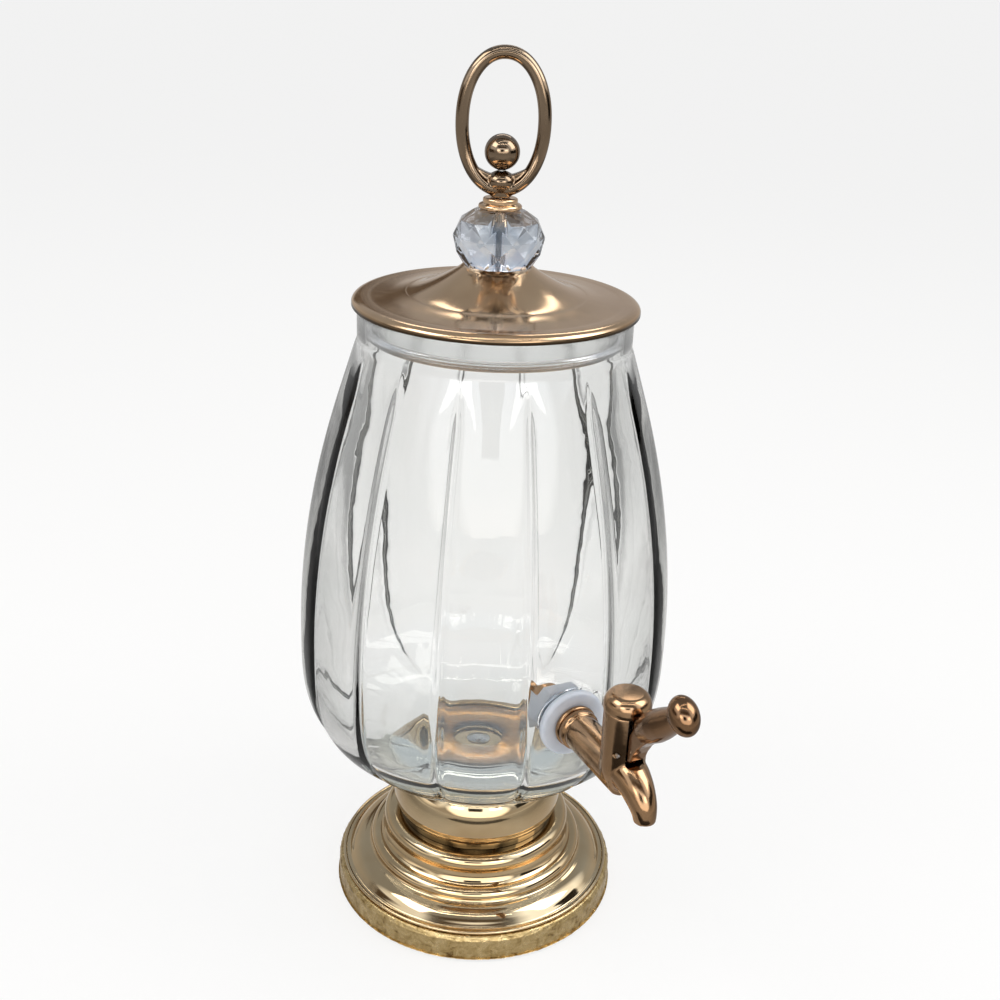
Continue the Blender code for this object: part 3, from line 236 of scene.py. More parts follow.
def card_finish(name, dark, light, core):
    """A dull card. Its rim fades away, so that no hard edge shows in the glass."""
    material, tree, shader = new_material(name)
    place = on_piece(tree)
    fibres = speckle(tree, place, 40.0, 2.0)
    feed(tree, shader, {"Base Color": ramp(tree, fibres, [(0.0, dark), (1.0, light)]), "Roughness": 0.9})
    parts = add_node(tree, "ShaderNodeSeparateXYZ", {0: reckon_way(tree, "ABSOLUTE", place)})
    rim = reckon(tree, "MAXIMUM", parts.outputs[0], parts.outputs[1])
    clear = add_node(tree, "ShaderNodeBsdfTransparent")
    blend(tree, spread(tree, rim, 1.0, 0.0, core, 0.5), clear.outputs[0], shader.outputs[0])
    return material


world = bpy.data.worlds.new("studio")
scene.world = world
world.use_nodes = True
tree = world.node_tree
direction = add_node(tree, "ShaderNodeTexCoord").outputs["Generated"]
rise = add_node(tree, "ShaderNodeSeparateXYZ", {0: direction}).outputs[2]
mirrored = spread(tree, rise, *MIRRORED_STRENGTHS, *MIRRORED_RISE)
for aim, squeeze, edge, core, strength in WINDOWS:
    narrow = reckon_way(tree, "NORMALIZE", reckon_way(tree, "MULTIPLY", direction, (squeeze, 1.0, 1.0)))
    near = reckon_way(tree, "DOT_PRODUCT", narrow, Vector(aim).normalized(), output="Value")
    mirrored = reckon(tree, "ADD", mirrored, spread(tree, near, 0.0, strength, edge, core))
tone = ramp(tree, spread(tree, rise, 0.0, 1.0, 0.0, 0.5), MIRRORED_TONES)
shine = add_node(tree, "ShaderNodeLightPath").outputs["Is Glossy Ray"]
sky = add_node(tree, "ShaderNodeMix", {0: shine, 6: WORLD_TONE, 7: tone}, data_type="RGBA")
feed(tree, tree.nodes["Background"],
     {"Color": sky.outputs[2],
      "Strength": by_ray(tree, WORLD_TO_CAMERA, mirrored, WORLD_THROUGH_GLASS, WORLD_STRENGTH)})
for name, place, width, height, power in SOFT_BOXES:
    data = bpy.data.lights.new(name, "AREA")
    data.shape = "RECTANGLE"
    data.size, data.size_y = width, height
    data.energy = power
    data.color = LAMP_TONE
    lamp = new_object(name, data)
    lamp.location = place
    lamp.rotation_euler = (Vector(LAMPS_AIM) - Vector(place)).to_track_quat("-Z", "Y").to_euler()
    lamp.visible_camera = False
card_finishes = {tone: card_finish(tone + " card", *values) for tone, values in CARD_TONES.items()}
for name, tone, place, size, (tilt, swing) in CARDS:
    card = new_shape(bpy.ops.mesh.primitive_plane_add, name, (tilt, 0.0, swing), size=1.0, location=place)
    card.scale = (*size, 1.0)
    card.visible_camera = card.visible_diffuse = False
    card.visible_transmission = tone == "grey"
    card.visible_shadow = card.visible_volume_scatter = False
    put(card, card_finishes[tone])


# Foot pad: a flat rubber ring pressed inside the metal skirt. The dispenser stands on it,
# and it keeps the plated edge off the table.
AXIS_Y = 0.03847
PAD_OUTER = 0.0779
PAD_INNER = 0.0704
PAD_TOP = 0.0024
BLUNT = 0.0004
ROUND_STEPS = 128
FACES_OUT = (bpy.ops.mesh.normals_make_consistent, {"inside": False})
RUBBER_TONES = [(0.35, (0.022, 0.022, 0.023)), (0.8, (0.06, 0.058, 0.055))]


def arc(centre_r, centre_z, radius, start, end, count=10, high=None):
    """Points of a round stretch of an outline, or of an oval one where its height is given; angles
    in degrees, 0 outward and 90 up."""
    angles = [radians(start + (end - start) * step / count) for step in range(count + 1)]
    return [(centre_r + radius * cos(angle), centre_z + (high or radius) * sin(angle)) for angle in angles]


def closed(outline):
    return outline + [outline[0]]


def flat_ring(inner, outer, low, high, rounds, steps):
    """Section of a flat ring from its low inner corner round, each corner with its own radius."""
    line = []
    corners = ((inner, low, 1, 1, 180), (outer, low, -1, 1, 270),
               (outer, high, -1, -1, 0), (inner, high, 1, -1, 90))
    for (r, z, inward, upward, start), size, count in zip(corners, rounds, steps):
        line += arc(r + inward * size, z + upward * size, size, start, start + 90, count)
    return closed(line)


def only(*pieces):
    """Selects just these pieces, with the first one active."""
    bpy.ops.object.select_all(action="DESELECT")
    for piece in pieces:
        piece.select_set(True)
    bpy.context.view_layer.objects.active = pieces[0]


def edit(piece, *steps):
    """Does each step in edit mode on the piece's whole mesh."""
    only(piece)
    bpy.ops.object.mode_set(mode="EDIT")
    for operator, settings in steps:
        bpy.ops.mesh.select_all(action="SELECT")
        operator(**settings)
    bpy.ops.object.mode_set(mode="OBJECT")


def settle(piece):
    """Puts the piece's place, turn and size into its mesh."""
    only(piece)
    bpy.ops.object.transform_apply(location=True, rotation=True, scale=True)


def modify(piece, name, kind, **settings):
    """Adds a modifier with its settings."""
    modifier = piece.modifiers.new(name, kind)
    for key, value in settings.items():
        setattr(modifier, key, value)


def apply_all(piece):
    only(piece)
    for modifier in list(piece.modifiers):
        bpy.ops.object.modifier_apply(modifier=modifier.name)


def dress(piece, material, angle=32.0):
    """Smooths the faces that meet below the angle and gives the piece its finish."""
    only(piece)
    bpy.ops.object.shade_smooth_by_angle(angle=radians(angle))
    put(piece, material)


def spun(name, outline, steps=ROUND_STEPS, centre=(0.0, AXIS_Y)):
    """Draws half of the piece's section point by point and spins it once round its axis."""
    first_r, first_z = outline[0]
    piece = new_shape(bpy.ops.mesh.primitive_plane_add, name, size=0.01,
                      location=(centre[0] + first_r, centre[1], first_z))
    bpy.ops.object.mode_set(mode="EDIT")
    bpy.ops.mesh.select_all(action="SELECT")
    bpy.ops.mesh.merge(type="CENTER")
    for (r0, z0), (r1, z1) in zip(outline, outline[1:]):
        bpy.ops.mesh.extrude_region_move(TRANSFORM_OT_translate={"value": (r1 - r0, 0.0, z1 - z0)})
    bpy.ops.object.mode_set(mode="OBJECT")
    round_once = {"steps": steps, "angle": 2.0 * pi, "center": (*centre, 0.0), "axis": (0.0, 0.0, 1.0)}
    edit(piece, (bpy.ops.mesh.spin, round_once),
         (bpy.ops.mesh.remove_doubles, {"threshold": 0.000001}), FACES_OUT)
    settle(piece)
    return piece


def bump(tree, shader, height, distance, strength=1.0):
    made = add_node(tree, "ShaderNodeBump", {"Height": height, "Distance": distance, "Strength": strength})
    feed(tree, shader, {"Normal": made.outputs["Normal"]})


def finish(name, grain, tones, gloss, relief, depth, own=None, strength=1.0):
    """A finish whose tone and roughness drift with one noise and whose skin follows a finer one.
    Each noise is its fineness, detail, roughness and warp; own holds the shader's fixed values."""
    material, tree, shader = new_material(name)
    place = on_piece(tree)
    drift = speckle(tree, place, *grain)
    feed(tree, shader, {"Base Color": ramp(tree, drift, tones),
                        "Roughness": spread(tree, drift, *gloss)})
    feed(tree, shader, own or {})
    bump(tree, shader, speckle(tree, place, *relief), depth, strength)
    return material


pad = spun("rubber_foot_ring", flat_ring(PAD_INNER, PAD_OUTER, 0.0, PAD_TOP,
                                         (BLUNT, 0.0006, BLUNT, BLUNT), (3, 4, 3, 3)))
dress(pad, finish("moulded rubber", (240.0, 5.0), RUBBER_TONES, (0.6, 0.85), (1800.0,), 0.00004))
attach(pad, "base")
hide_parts("foot_pad_ring")


# Skirt: the bottom ring of the foot, pressed from sheet with a hammered, leaf-like grain round its
# face. Its plating is yellower than the bright dome's, with dark brown specks scattered over it at random.
SHEET = 0.0012
SKIRT_RADIUS = 0.0797
SKIRT_TOP = 0.0152
SKIRT_LOW = 0.0006
SKIRT_WALL = 0.0015
SKIRT_FLANGE = 0.0088
SKIRT_EDGE = 0.003
SKIRT_HEM = 0.0007
SKIRT_STEPS = 540
LEDGE_LOW = 0.0027
FACE_ROWS = 20
GRAIN_REACH = 0.0022
GRAIN_FADE = 0.0016
HAMMER_DEPTH = 0.00065
HAMMER_SIZE = 0.0042
HAMMERED_TONES = [(0.31, (0.15, 0.085, 0.03)), (0.41, (0.43, 0.3, 0.125)),
                  (0.56, (0.59, 0.435, 0.21)), (0.8, (0.7, 0.55, 0.31))]

web = SKIRT_RADIUS - SKIRT_FLANGE
inner = SKIRT_RADIUS - SKIRT_WALL
face_top = SKIRT_TOP - SKIRT_EDGE
face_high = face_top - SKIRT_LOW - 0.0005
outline = [(web, SKIRT_TOP - SHEET), (web, SKIRT_TOP - BLUNT), (web + BLUNT, SKIRT_TOP)]
outline += arc(SKIRT_RADIUS - SKIRT_EDGE, face_top, SKIRT_EDGE, 90, 0)
outline += [(SKIRT_RADIUS, face_top - face_high * row / FACE_ROWS) for row in range(1, FACE_ROWS + 1)]
outline += arc(SKIRT_RADIUS - SKIRT_HEM, SKIRT_LOW + SKIRT_HEM, SKIRT_HEM, -10, -180, 6)
outline += [(inner, LEDGE_LOW), (web, LEDGE_LOW), (web, LEDGE_LOW + SHEET), (inner, LEDGE_LOW + SHEET)]
outline += [(inner, face_top), (SKIRT_RADIUS - SKIRT_EDGE, SKIRT_TOP - SHEET)]
skirt = spun("hammered_skirt", closed(outline), SKIRT_STEPS)
group = skirt.vertex_groups.new(name="grain")
for vertex in skirt.data.vertices:
    reach = hypot(vertex.co.x, vertex.co.y - AXIS_Y) - SKIRT_RADIUS + GRAIN_REACH
    if reach > 0.0:
        group.add([vertex.index], min(1.0, reach / GRAIN_FADE), "REPLACE")
hammer = bpy.data.textures.new("hammer marks", "VORONOI")
hammer.weight_1, hammer.weight_2 = -1.0, 1.0
hammer.distance_metric = "DISTANCE"
leaf = bpy.data.textures.new("leaf marks", "CLOUDS")
leaf.noise_depth = 2
for grain, size, depth in ((hammer, HAMMER_SIZE, HAMMER_DEPTH),
                           (leaf, HAMMER_SIZE * 0.45, HAMMER_DEPTH * 0.7)):
    grain.noise_scale = size
    modify(skirt, grain.name, "DISPLACE", texture=grain, texture_coords="LOCAL", strength=depth,
           mid_level=1.0, vertex_group="grain")
apply_all(skirt)
dress(skirt, finish("hammered gold plating", (190.0, 5.0, 0.65, 0.6), HAMMERED_TONES, (0.42, 0.2),
                    (420.0, 4.0, 0.6), 0.0005, {"Metallic": 1.0}), 50.0)
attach(skirt, "base")
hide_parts("foot_skirt")


# Bead: a thin bright wire ring that hides the seam between the skirt and the dome.
# It is rolled from the dome's own edge on the real foot.
GAP = 0.0003
BEAD_WIRE = 0.0009
DOME_RIM = 0.0747
# Light tone, deep tone, and the least and most roughness
BRIGHT_GOLD = ((0.66, 0.51, 0.31), (0.56, 0.4, 0.22), 0.035, 0.1)


def gold_plating(name, light, deep, smoothest, dullest, turned=True):
    """Polished plating: its tone drifts, handling leaves it duller in places, and the spinner's
    tool leaves rings round the axis that are almost too fine to see."""
    material, tree, shader = new_material(name)
    place = on_piece(tree)
    smears = speckle(tree, place, 75.0, 5.0, 0.6, 0.4)
    feed(tree, shader, {"Base Color": ramp(tree, speckle(tree, place, 26.0), [(0.34, deep), (0.66, light)]),
                        "Metallic": 1.0, "Roughness": spread(tree, smears, smoothest, dullest)})
    if turned:
        centred = reckon_way(tree, "SUBTRACT", place, (0.0, AXIS_Y, 0.0))
        flat = reckon_way(tree, "MULTIPLY", centred, (1.0, 1.0, 0.0))
        height = add_node(tree, "ShaderNodeSeparateXYZ", {0: centred}).outputs[2]
        rings = add_node(tree, "ShaderNodeCombineXYZ",
                         {0: reckon_way(tree, "LENGTH", flat, output="Value"), 2: height}).outputs[0]
        bump(tree, shader, speckle(tree, rings, 900.0, 2.0), 0.000012)
    else:
        bump(tree, shader, speckle(tree, place, 160.0), 0.00006)
    return material


bright_gold = gold_plating("bright gold plating", *BRIGHT_GOLD)
outline = arc(DOME_RIM + GAP + BEAD_WIRE, SKIRT_TOP + GAP + BEAD_WIRE, BEAD_WIRE, 0, 345, 23)
bead = spun("seam_bead", closed(outline), 192)
dress(bead, bright_gold)
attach(bead, "base")
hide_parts("foot_bead")


# Dome: the stepped foot, spun from one disc of sheet metal over a form, then polished and
# plated. Two round steps stand over a hollow curve that runs out to the rim.
DOME_STEPS = 160
DOME_TOP = 0.046
PLATE_END = 0.03
UPPER_RING = (0.053, 0.0052)
LOWER_RING = (0.0606, 0.0045)
LOWER_RING_DROP = 0.02
BOLT_HOLE = 0.0034
NECK_LINE = [(0.05172, 0.0362), (0.05236, 0.0332), (0.0537, 0.03085)]
# The hollow curve, as shares of its width and of its drop
HOLLOW = [(0.06, 0.04), (0.26, 0.12), (0.48, 0.3), (0.66, 0.57), (0.8, 0.86), (0.88, 1.0), (1.0, 1.0)]


def eased_line(points, count=6):
    """A smooth line through the points, for the stretches that a spinner's tool leaves round."""
    ends = [points[0]] + list(points) + [points[-1]]
    line = []
    for a, b, c, d in zip(ends, ends[1:], ends[2:], ends[3:]):
        for step in range(count):
            t = step / count
            line.append(tuple(
                0.5 * (2 * q + (r - p) * t + (2 * p - 5 * q + 4 * r - s) * t * t
                       + (3 * q - p - 3 * r + s) * t ** 3)
                for p, q, r, s in zip(a, b, c, d)))
    return line + [points[-1]]


def spun_sheet(name, outline, wall, steps=DOME_STEPS):
    """A piece spun from sheet metal: the outline is its outer face, and the wall lies inside."""
    piece = spun(name, outline, steps)
    middle = Vector((0.0, AXIS_Y, min(z for _, z in outline) - 0.02))
    outward = sum((face.center - middle).dot(face.normal) * face.area for face in piece.data.polygons)
    if outward < 0.0:
        edit(piece, (bpy.ops.mesh.flip_normals, {}))
    modify(piece, "sheet", "SOLIDIFY", thickness=wall, offset=-1.0, use_even_offset=True)
    apply_all(piece)
    return piece


rim_z = SKIRT_TOP + GAP + SHEET
lower_z = DOME_TOP - LOWER_RING_DROP
hollow_z = lower_z - 0.45 * LOWER_RING[1]
hollow_wide = DOME_RIM - LOWER_RING[0]
outline = [(BOLT_HOLE, DOME_TOP), (PLATE_END, DOME_TOP)]
outline += arc(UPPER_RING[0] - UPPER_RING[1], DOME_TOP - UPPER_RING[1], UPPER_RING[1], 90, -30, 18)
outline += eased_line([outline[-1]] + NECK_LINE)[1:-1]
outline += arc(LOWER_RING[0] - LOWER_RING[1], lower_z, LOWER_RING[1], 108, -14, 18)
hollow = [(LOWER_RING[0] + out * hollow_wide, hollow_z + drop * (rim_z - hollow_z)) for out, drop in HOLLOW]
outline += eased_line([outline[-1]] + hollow)[1:]
dome = spun_sheet("stepped_dome", outline, SHEET)
dress(dome, bright_gold)
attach(dome, "base")
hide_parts("pedestal_dome")


# Cup: the collar that the jar sits in, spun from the same sheet, with a rolled lip and a flat
# seat. The centre bolt holds it down on the dome. Shade is painted into its plating, darker towards the
# corner between the two.
CUP_FOOT = 0.0463
CUP_TOP = 0.0773
CUP_RADIUS = 0.0476
CUP_NECK = 0.044
NECK_SHARE = 0.12
BELLY_SHARE = 0.42
SEAT_RADIUS = 0.0363
SEAT_Z = 0.0741
SEAT_CORNER = 0.001
LIP_ROUND = 0.0017
SHOULDER = (-0.00022, 0.0007)
# Painted shade on the cup's plating: heights over its foot where it is darkest and where it ends, and the
# share of tone left
CUP_PAINTED_SHADE = (0.0015, 0.0085, 0.22)


def paint_shade_low(material, low_z, dark, clean, share):
    """Paints shade into the plating towards a low corner: from unshaded, a height over low_z, down to
    dark, where only a share of its own tone is left."""
    tree = material.node_tree
    shader = tree.nodes["Principled BSDF"]
    height = add_node(tree, "ShaderNodeSeparateXYZ", {0: on_piece(tree)}).outputs[2]
    shade = spread(tree, height, share, 1.0, low_z + dark, low_z + clean)
    tone = shader.inputs["Base Color"].links[0].from_socket
    darker = add_node(tree, "ShaderNodeVectorMath", {0: tone, 3: shade}, operation="SCALE")
    feed(tree, shader, {"Base Color": darker.outputs[0]})


neck_z = CUP_FOOT + NECK_SHARE * (CUP_TOP - CUP_FOOT)
belly_z = CUP_FOOT + BELLY_SHARE * (CUP_TOP - CUP_FOOT)
lip_z = CUP_TOP - LIP_ROUND
shoulder_r = SEAT_RADIUS + 2.0 * LIP_ROUND + SHOULDER[0]
outline = [(BOLT_HOLE, SEAT_Z), (SEAT_RADIUS - SEAT_CORNER, SEAT_Z)]
outline += arc(SEAT_RADIUS - SEAT_CORNER, SEAT_Z + SEAT_CORNER, SEAT_CORNER, 285, 360, 5)
outline += arc(SEAT_RADIUS + LIP_ROUND, lip_z, LIP_ROUND, 180, 30, 14)
outline += arc(shoulder_r, belly_z, CUP_RADIUS - shoulder_r, 90, 0, 20, lip_z + SHOULDER[1] - belly_z)[1:]
outline += arc(CUP_NECK, belly_z, CUP_RADIUS - CUP_NECK, 0, 90, 14, neck_z - belly_z)[1:]
outline += [(CUP_NECK, CUP_FOOT)]
cup = spun_sheet("jar_cup", outline, SHEET)
cup_gold = gold_plating("cup gold plating", *BRIGHT_GOLD)
# Painted shade: the cup's plating is darkened towards its foot.
paint_shade_low(cup_gold, CUP_FOOT, *CUP_PAINTED_SHADE)
dress(cup, cup_gold)
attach(cup, "base")
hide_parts("pedestal_cup")


# Jar: pressed and blown clear glass with fourteen tall lobes outside and a nearly smooth inside.
# A hole with a flat on each side takes the tap. The floor is much thicker than the wall.
JAR_Z = 0.0767
JAR_TOP = 0.3409
BELLY_Z = 0.1647
NECK_Z = 0.3239
JAR_FOOT = 0.035
BELLY = 0.09854
NECK = 0.0683
JAR_LIP = 0.0012
JAR_WALL = 0.0058
NECK_WALL = 0.004
FOOT_SWELL = 0.35
JAR_FLOOR = 0.026
FLOOR_ROUND = 0.018
BOWL_FULLNESS = 3.6
LOBES = 14
LOBE_DEPTH = 0.0026
LOBE_FADE = 0.026
LOBE_FOOT = 0.008
LOBE_PARTS = 18
GROOVE_CROWD = 0.66
GROOVE_WIDTH = 0.085
GROOVE_SHARE = 0.48
INNER_LOBE = 0.00055
BLOWN_WAVE = 0.00022
SIDE_ROWS = 96
BOWL_ROWS = 56
INNER_SIDE_ROWS = 57
INNER_BOWL_ROWS = 36
TAP_TURN = radians(26.5 - 90.0)
TAP_Z = 0.1599
JAR_OUT = 0.0974
JAR_IN = 0.0926
SHANK_HOLE = 0.0087
OUTER_FLAT = 0.0176
INNER_FLAT = 0.0146
JAR_TONES = [(0.3, (0.975, 0.985, 0.985)), (0.7, (1.0, 1.0, 1.0))]
JAR_SMOKE = {"Color": (0.74, 0.745, 0.7, 1.0), "Density": 17.0}


def ease(value):
    value = min(max(value, 0.0), 1.0)
    return value * value * (3.0 - 2.0 * value)


def jar_radius(height):
    """Outer radius of the jar over the crests of its lobes."""
    if height >= NECK_Z:
        return NECK
    if height >= BELLY_Z:
        share = (height - BELLY_Z) / (NECK_Z - BELLY_Z)
        return BELLY - (BELLY - NECK) * share ** 2
    share = (BELLY_Z - height) / (BELLY_Z - JAR_Z)
    return JAR_FOOT + (BELLY - JAR_FOOT) * (1.0 - share ** BOWL_FULLNESS)


def jar_outside():
    """The outer face from the lip down to the middle of the hollow foot."""
    line = arc(NECK - JAR_LIP, JAR_TOP - JAR_LIP, JAR_LIP, 90, 0, 6)
    heights = [JAR_TOP - JAR_LIP - 0.0017 * step for step in range(1, 8)]
    heights += [NECK_Z + 0.0036, NECK_Z + 0.0018, NECK_Z]
    heights += [NECK_Z - (NECK_Z - BELLY_Z) * (step / SIDE_ROWS) ** 1.05 for step in range(1, SIDE_ROWS + 1)]
    heights += [JAR_Z + (BELLY_Z - JAR_Z) * cos(radians(90.0 * step / BOWL_ROWS)) ** 1.1
                for step in range(1, BOWL_ROWS)]
    line += [(jar_radius(height), height) for height in heights]
    line += [(JAR_FOOT - 0.0002, JAR_Z + 0.001), (JAR_FOOT - 0.0012, JAR_Z + 0.0002)]
    return line + [(JAR_FOOT - 0.003, JAR_Z), (0.02, JAR_Z + 0.0008), (0.0, JAR_Z + 0.0012)]


def jar_inside():
    """The inner face from the middle of the floor up to the lip."""
    floor_z = JAR_Z + JAR_FLOOR
    line = [(0.0, floor_z - 0.0012), (0.012, floor_z - 0.001), (0.024, floor_z - 0.0007),
            (0.036, floor_z - 0.0002)]
    for step in range(INNER_BOWL_ROWS + 1):
        share = step / INNER_BOWL_ROWS
        height = floor_z + (BELLY_Z - floor_z) * share ** 1.6
        corner = max(0.0, 1.0 - (height - floor_z) / FLOOR_ROUND)
        radius = jar_radius(height) - JAR_WALL - FOOT_SWELL * JAR_WALL * (1.0 - share)
        line.append((radius - FLOOR_ROUND * (1.0 - sqrt(1.0 - corner ** 2)), height))
    for step in range(1, INNER_SIDE_ROWS):
        share = step / INNER_SIDE_ROWS
        height = BELLY_Z + (NECK_Z - BELLY_Z) * share
        wall = JAR_WALL + (NECK_WALL - JAR_WALL) * ease((share - 0.75) / 0.25)
        line.append((jar_radius(height) - wall, height))
    mouth = NECK - NECK_WALL
    line += [(mouth, NECK_Z + (JAR_TOP - JAR_LIP - NECK_Z) * step / 6) for step in range(7)]
    return line + arc(mouth + JAR_LIP, JAR_TOP - JAR_LIP, JAR_LIP, 180, 90, 6)[1:]


def press_lobes(piece):
    """Sinks the skin between the lobes, crowds the columns towards the grooves, and gives the
    inside the slow waves of blown glass."""
    pitch = 2.0 * pi / LOBES
    for vertex in piece.data.vertices:
        x, y, z = vertex.co.x, vertex.co.y - AXIS_Y, vertex.co.z
        reach = hypot(x, y)
        if reach < 0.0005:
            continue
        turn = (atan2(y, x) - TAP_TURN) / pitch
        whole = (turn + 0.5) // 1
        part = turn - whole
        part += GROOVE_CROWD / (2.0 * pi) * sin(2.0 * pi * part)
        angle = TAP_TURN + (whole + part) * pitch
        across = abs(2.0 * part)
        strength = ease((NECK_Z - z) / LOBE_FADE) * ease((z - JAR_Z - LOBE_FOOT) / LOBE_FADE)
        groove = exp(-((1.0 - across) / GROOVE_WIDTH) ** 2)
        if reach > jar_radius(z) - 0.3 * JAR_WALL and z > JAR_Z + 0.002:
            reach -= LOBE_DEPTH * strength * ((1.0 - GROOVE_SHARE) * across ** 2 + GROOVE_SHARE * groove)
        elif z > JAR_Z + JAR_FLOOR:
            wave = noise.noise(Vector((x * 34.0, y * 34.0, z * 17.0)))
            reach -= INNER_LOBE * strength * across ** 2
            reach -= BLOWN_WAVE * wave * ease((JAR_TOP - 0.02 - z) / 0.03)
        vertex.co.x = reach * cos(angle)
        vertex.co.y = AXIS_Y + reach * sin(angle)
    piece.data.update()


def tap_side(piece):
    """Turns a piece that was made along X, outward from the jar's axis, to the side of the tap."""
    piece.data.transform(Matrix.Translation((0.0, AXIS_Y, TAP_Z)) @ Matrix.Rotation(TAP_TURN, 4, "Z"))


def round_bar(name, radius, length, middle, turn=(0.0, 0.0, 0.0), sides=32):
    """A round bar at its place, upright unless it is turned."""
    made = new_shape(bpy.ops.mesh.primitive_cylinder_add, name, turn, vertices=sides, radius=radius,
                     depth=length, location=middle)
    settle(made)
    return made


def rod(name, radius, start, end, sides=64):
    """A round bar along X between two distances from the jar's axis."""
    return round_bar(name, radius, end - start, ((start + end) / 2, 0.0, 0.0), (0.0, 90.0, 0.0), sides)


def combine(piece, other, operation="DIFFERENCE"):
    """Cuts another shape out of the piece, or joins it on, and takes the other away."""
    modify(piece, operation.lower(), "BOOLEAN", operation=operation, solver="EXACT", object=other)
    bpy.context.view_layer.update()
    apply_all(piece)
    bpy.data.objects.remove(other, do_unlink=True)


jar = spun("lobed_jar", jar_inside() + jar_outside(), LOBES * LOBE_PARTS)
press_lobes(jar)
for name, radius, start, end in (("tap hole", SHANK_HOLE, JAR_IN - 0.02, JAR_OUT + 0.02),
                                 ("outer flat", OUTER_FLAT, JAR_OUT, JAR_OUT + 0.02),
                                 ("inner flat", INNER_FLAT, JAR_IN - 0.02, JAR_IN)):
    cutter = rod(name, radius, start, end)
    tap_side(cutter)
    combine(jar, cutter)
jar_glass = finish("clear jar glass", (30.0, 4.0), JAR_TONES, (0.0, 0.012), (60.0, 2.0), 0.00012,
                   {"Transmission Weight": 1.0, "IOR": 1.51}, 0.5)
smoke = add_node(jar_glass.node_tree, "ShaderNodeVolumeAbsorption", JAR_SMOKE)
feed(jar_glass.node_tree, jar_glass.node_tree.nodes["Material Output"], {"Volume": smoke.outputs[0]})
dress(jar, jar_glass, 40.0)
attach(jar, "base")
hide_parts("glass_jar")


# Cushion and hidden hardware: a honey-coloured silicone ring between the metal seat and the glass,
# and the steel bolt, washers, nuts, pin, stem and spring of pedestal, tap and lid.
CUSHION = (0.012, 0.035)
CUSHION_THICK = 0.002
SILICONE_TONES = [(0.35, (0.5, 0.54, 0.61)), (0.65, (0.6, 0.63, 0.69))]
STEEL_TONES = [(0.3, (0.42, 0.41, 0.4)), (0.7, (0.66, 0.66, 0.65))]
HONEY = ((0.88, 0.69, 0.44), (0.96, 0.82, 0.6))


def clear_plastic(name, dark, light, through):
    return finish(name, (45.0, 4.0, 0.5, 0.6), [(0.3, dark), (0.7, light)], (0.08, 0.22),
                  (260.0, 2.0), 0.00005, {"Transmission Weight": through, "IOR": 1.49})


silicone = finish("milky silicone", (90.0, 4.0), SILICONE_TONES, (0.32, 0.5), (420.0,), 0.00005,
                  {"Subsurface Weight": 0.35, "Subsurface Radius": (0.004, 0.005, 0.006),
                   "Subsurface Scale": 1.0})
steel = finish("plain steel", (130.0, 5.0), STEEL_TONES, (0.24, 0.42), (1500.0, 2.0), 0.00002,
               {"Metallic": 1.0})
cushion_z = SEAT_Z + GAP
cushion = spun("seat_cushion", flat_ring(*CUSHION, cushion_z, cushion_z + CUSHION_THICK,
                                         4 * (BLUNT,), 4 * (3,)), 96)
dress(cushion, clear_plastic("honey silicone", *HONEY, 1.0))
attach(cushion, "base")
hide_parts("cup_cushion")
for node in ("pedestal_bolt", "pedestal_washer", "pedestal_nut", "tap_lever_pin", "tap_spring",
             "tap_stem", "knob_stud", "knob_washer", "knob_nut"):
    put(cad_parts[node], steel)
put(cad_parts["tap_seat"], silicone)


# Tap washers and nut: two silicone washers seal the hole in the glass, a plated flange presses on
# the outer one, and a moulded nut on the shank pulls everything tight from inside.
WASHER_X = 0.0977
FLANGE_X = 0.1025
TRUNK_X = 0.1053
INNER_WASHER_X = 0.0898
NUT_X = 0.0827
NUT_RADIUS = 0.015
NUT_THICK = 0.0068
NUT_BORE = 0.0083
SHANK_FREE = 0.0084
DISC_HOLE_EDGE = 0.0003
ROUNDED_EDGES = (bpy.ops.mesh.bevel, {"offset": 0.0008, "segments": 3})
ROSE_GOLD = ((0.44, 0.275, 0.155), (0.33, 0.19, 0.095), 0.09, 0.2)
NUT_TONES = [(0.35, (0.76, 0.79, 0.84)), (0.65, (0.84, 0.86, 0.9))]


def tap_disc(name, outer, start, thick, edge):
    """A washer on the shank with rounded edges, along the tap's axis."""
    disc = spun(name, flat_ring(SHANK_FREE, outer, start, start + thick,
                                (DISC_HOLE_EDGE, edge, edge, DISC_HOLE_EDGE), (3, 6, 6, 3)),
                96, centre=(0.0, 0.0))
    disc.data.transform(Matrix.Rotation(radians(90), 4, "Y"))
    tap_side(disc)
    return disc


rose_gold = gold_plating("rose gold plating", *ROSE_GOLD, turned=False)
washer = tap_disc("tap_outer_seal", 0.0172, WASHER_X, 0.0045, 0.0018)
dress(washer, silicone)
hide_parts("tap_outer_washer")
inner_washer = tap_disc("tap_inner_seal", 0.014, INNER_WASHER_X, 0.0025, 0.0006)
dress(inner_washer, silicone)
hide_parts("tap_inner_washer")
flange = tap_disc("tap_pressure_plate", 0.0108, FLANGE_X, 0.0025, 0.0009)
dress(flange, rose_gold)
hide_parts("tap_flange")
nut = rod("tap_wing_nut", NUT_RADIUS, NUT_X, NUT_X + NUT_THICK, 6)
edit(nut, ROUNDED_EDGES)
combine(nut, rod("nut bore", NUT_BORE, NUT_X - 0.002, NUT_X + 0.01))
tap_side(nut)
dress(nut, finish("milk white plastic", (70.0, 4.0, 0.5, 0.8), NUT_TONES, (0.3, 0.48),
                  (900.0, 2.0), 0.00003))
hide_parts("tap_nut")
for piece in (washer, inner_washer, flange, nut):
    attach(piece, "base")


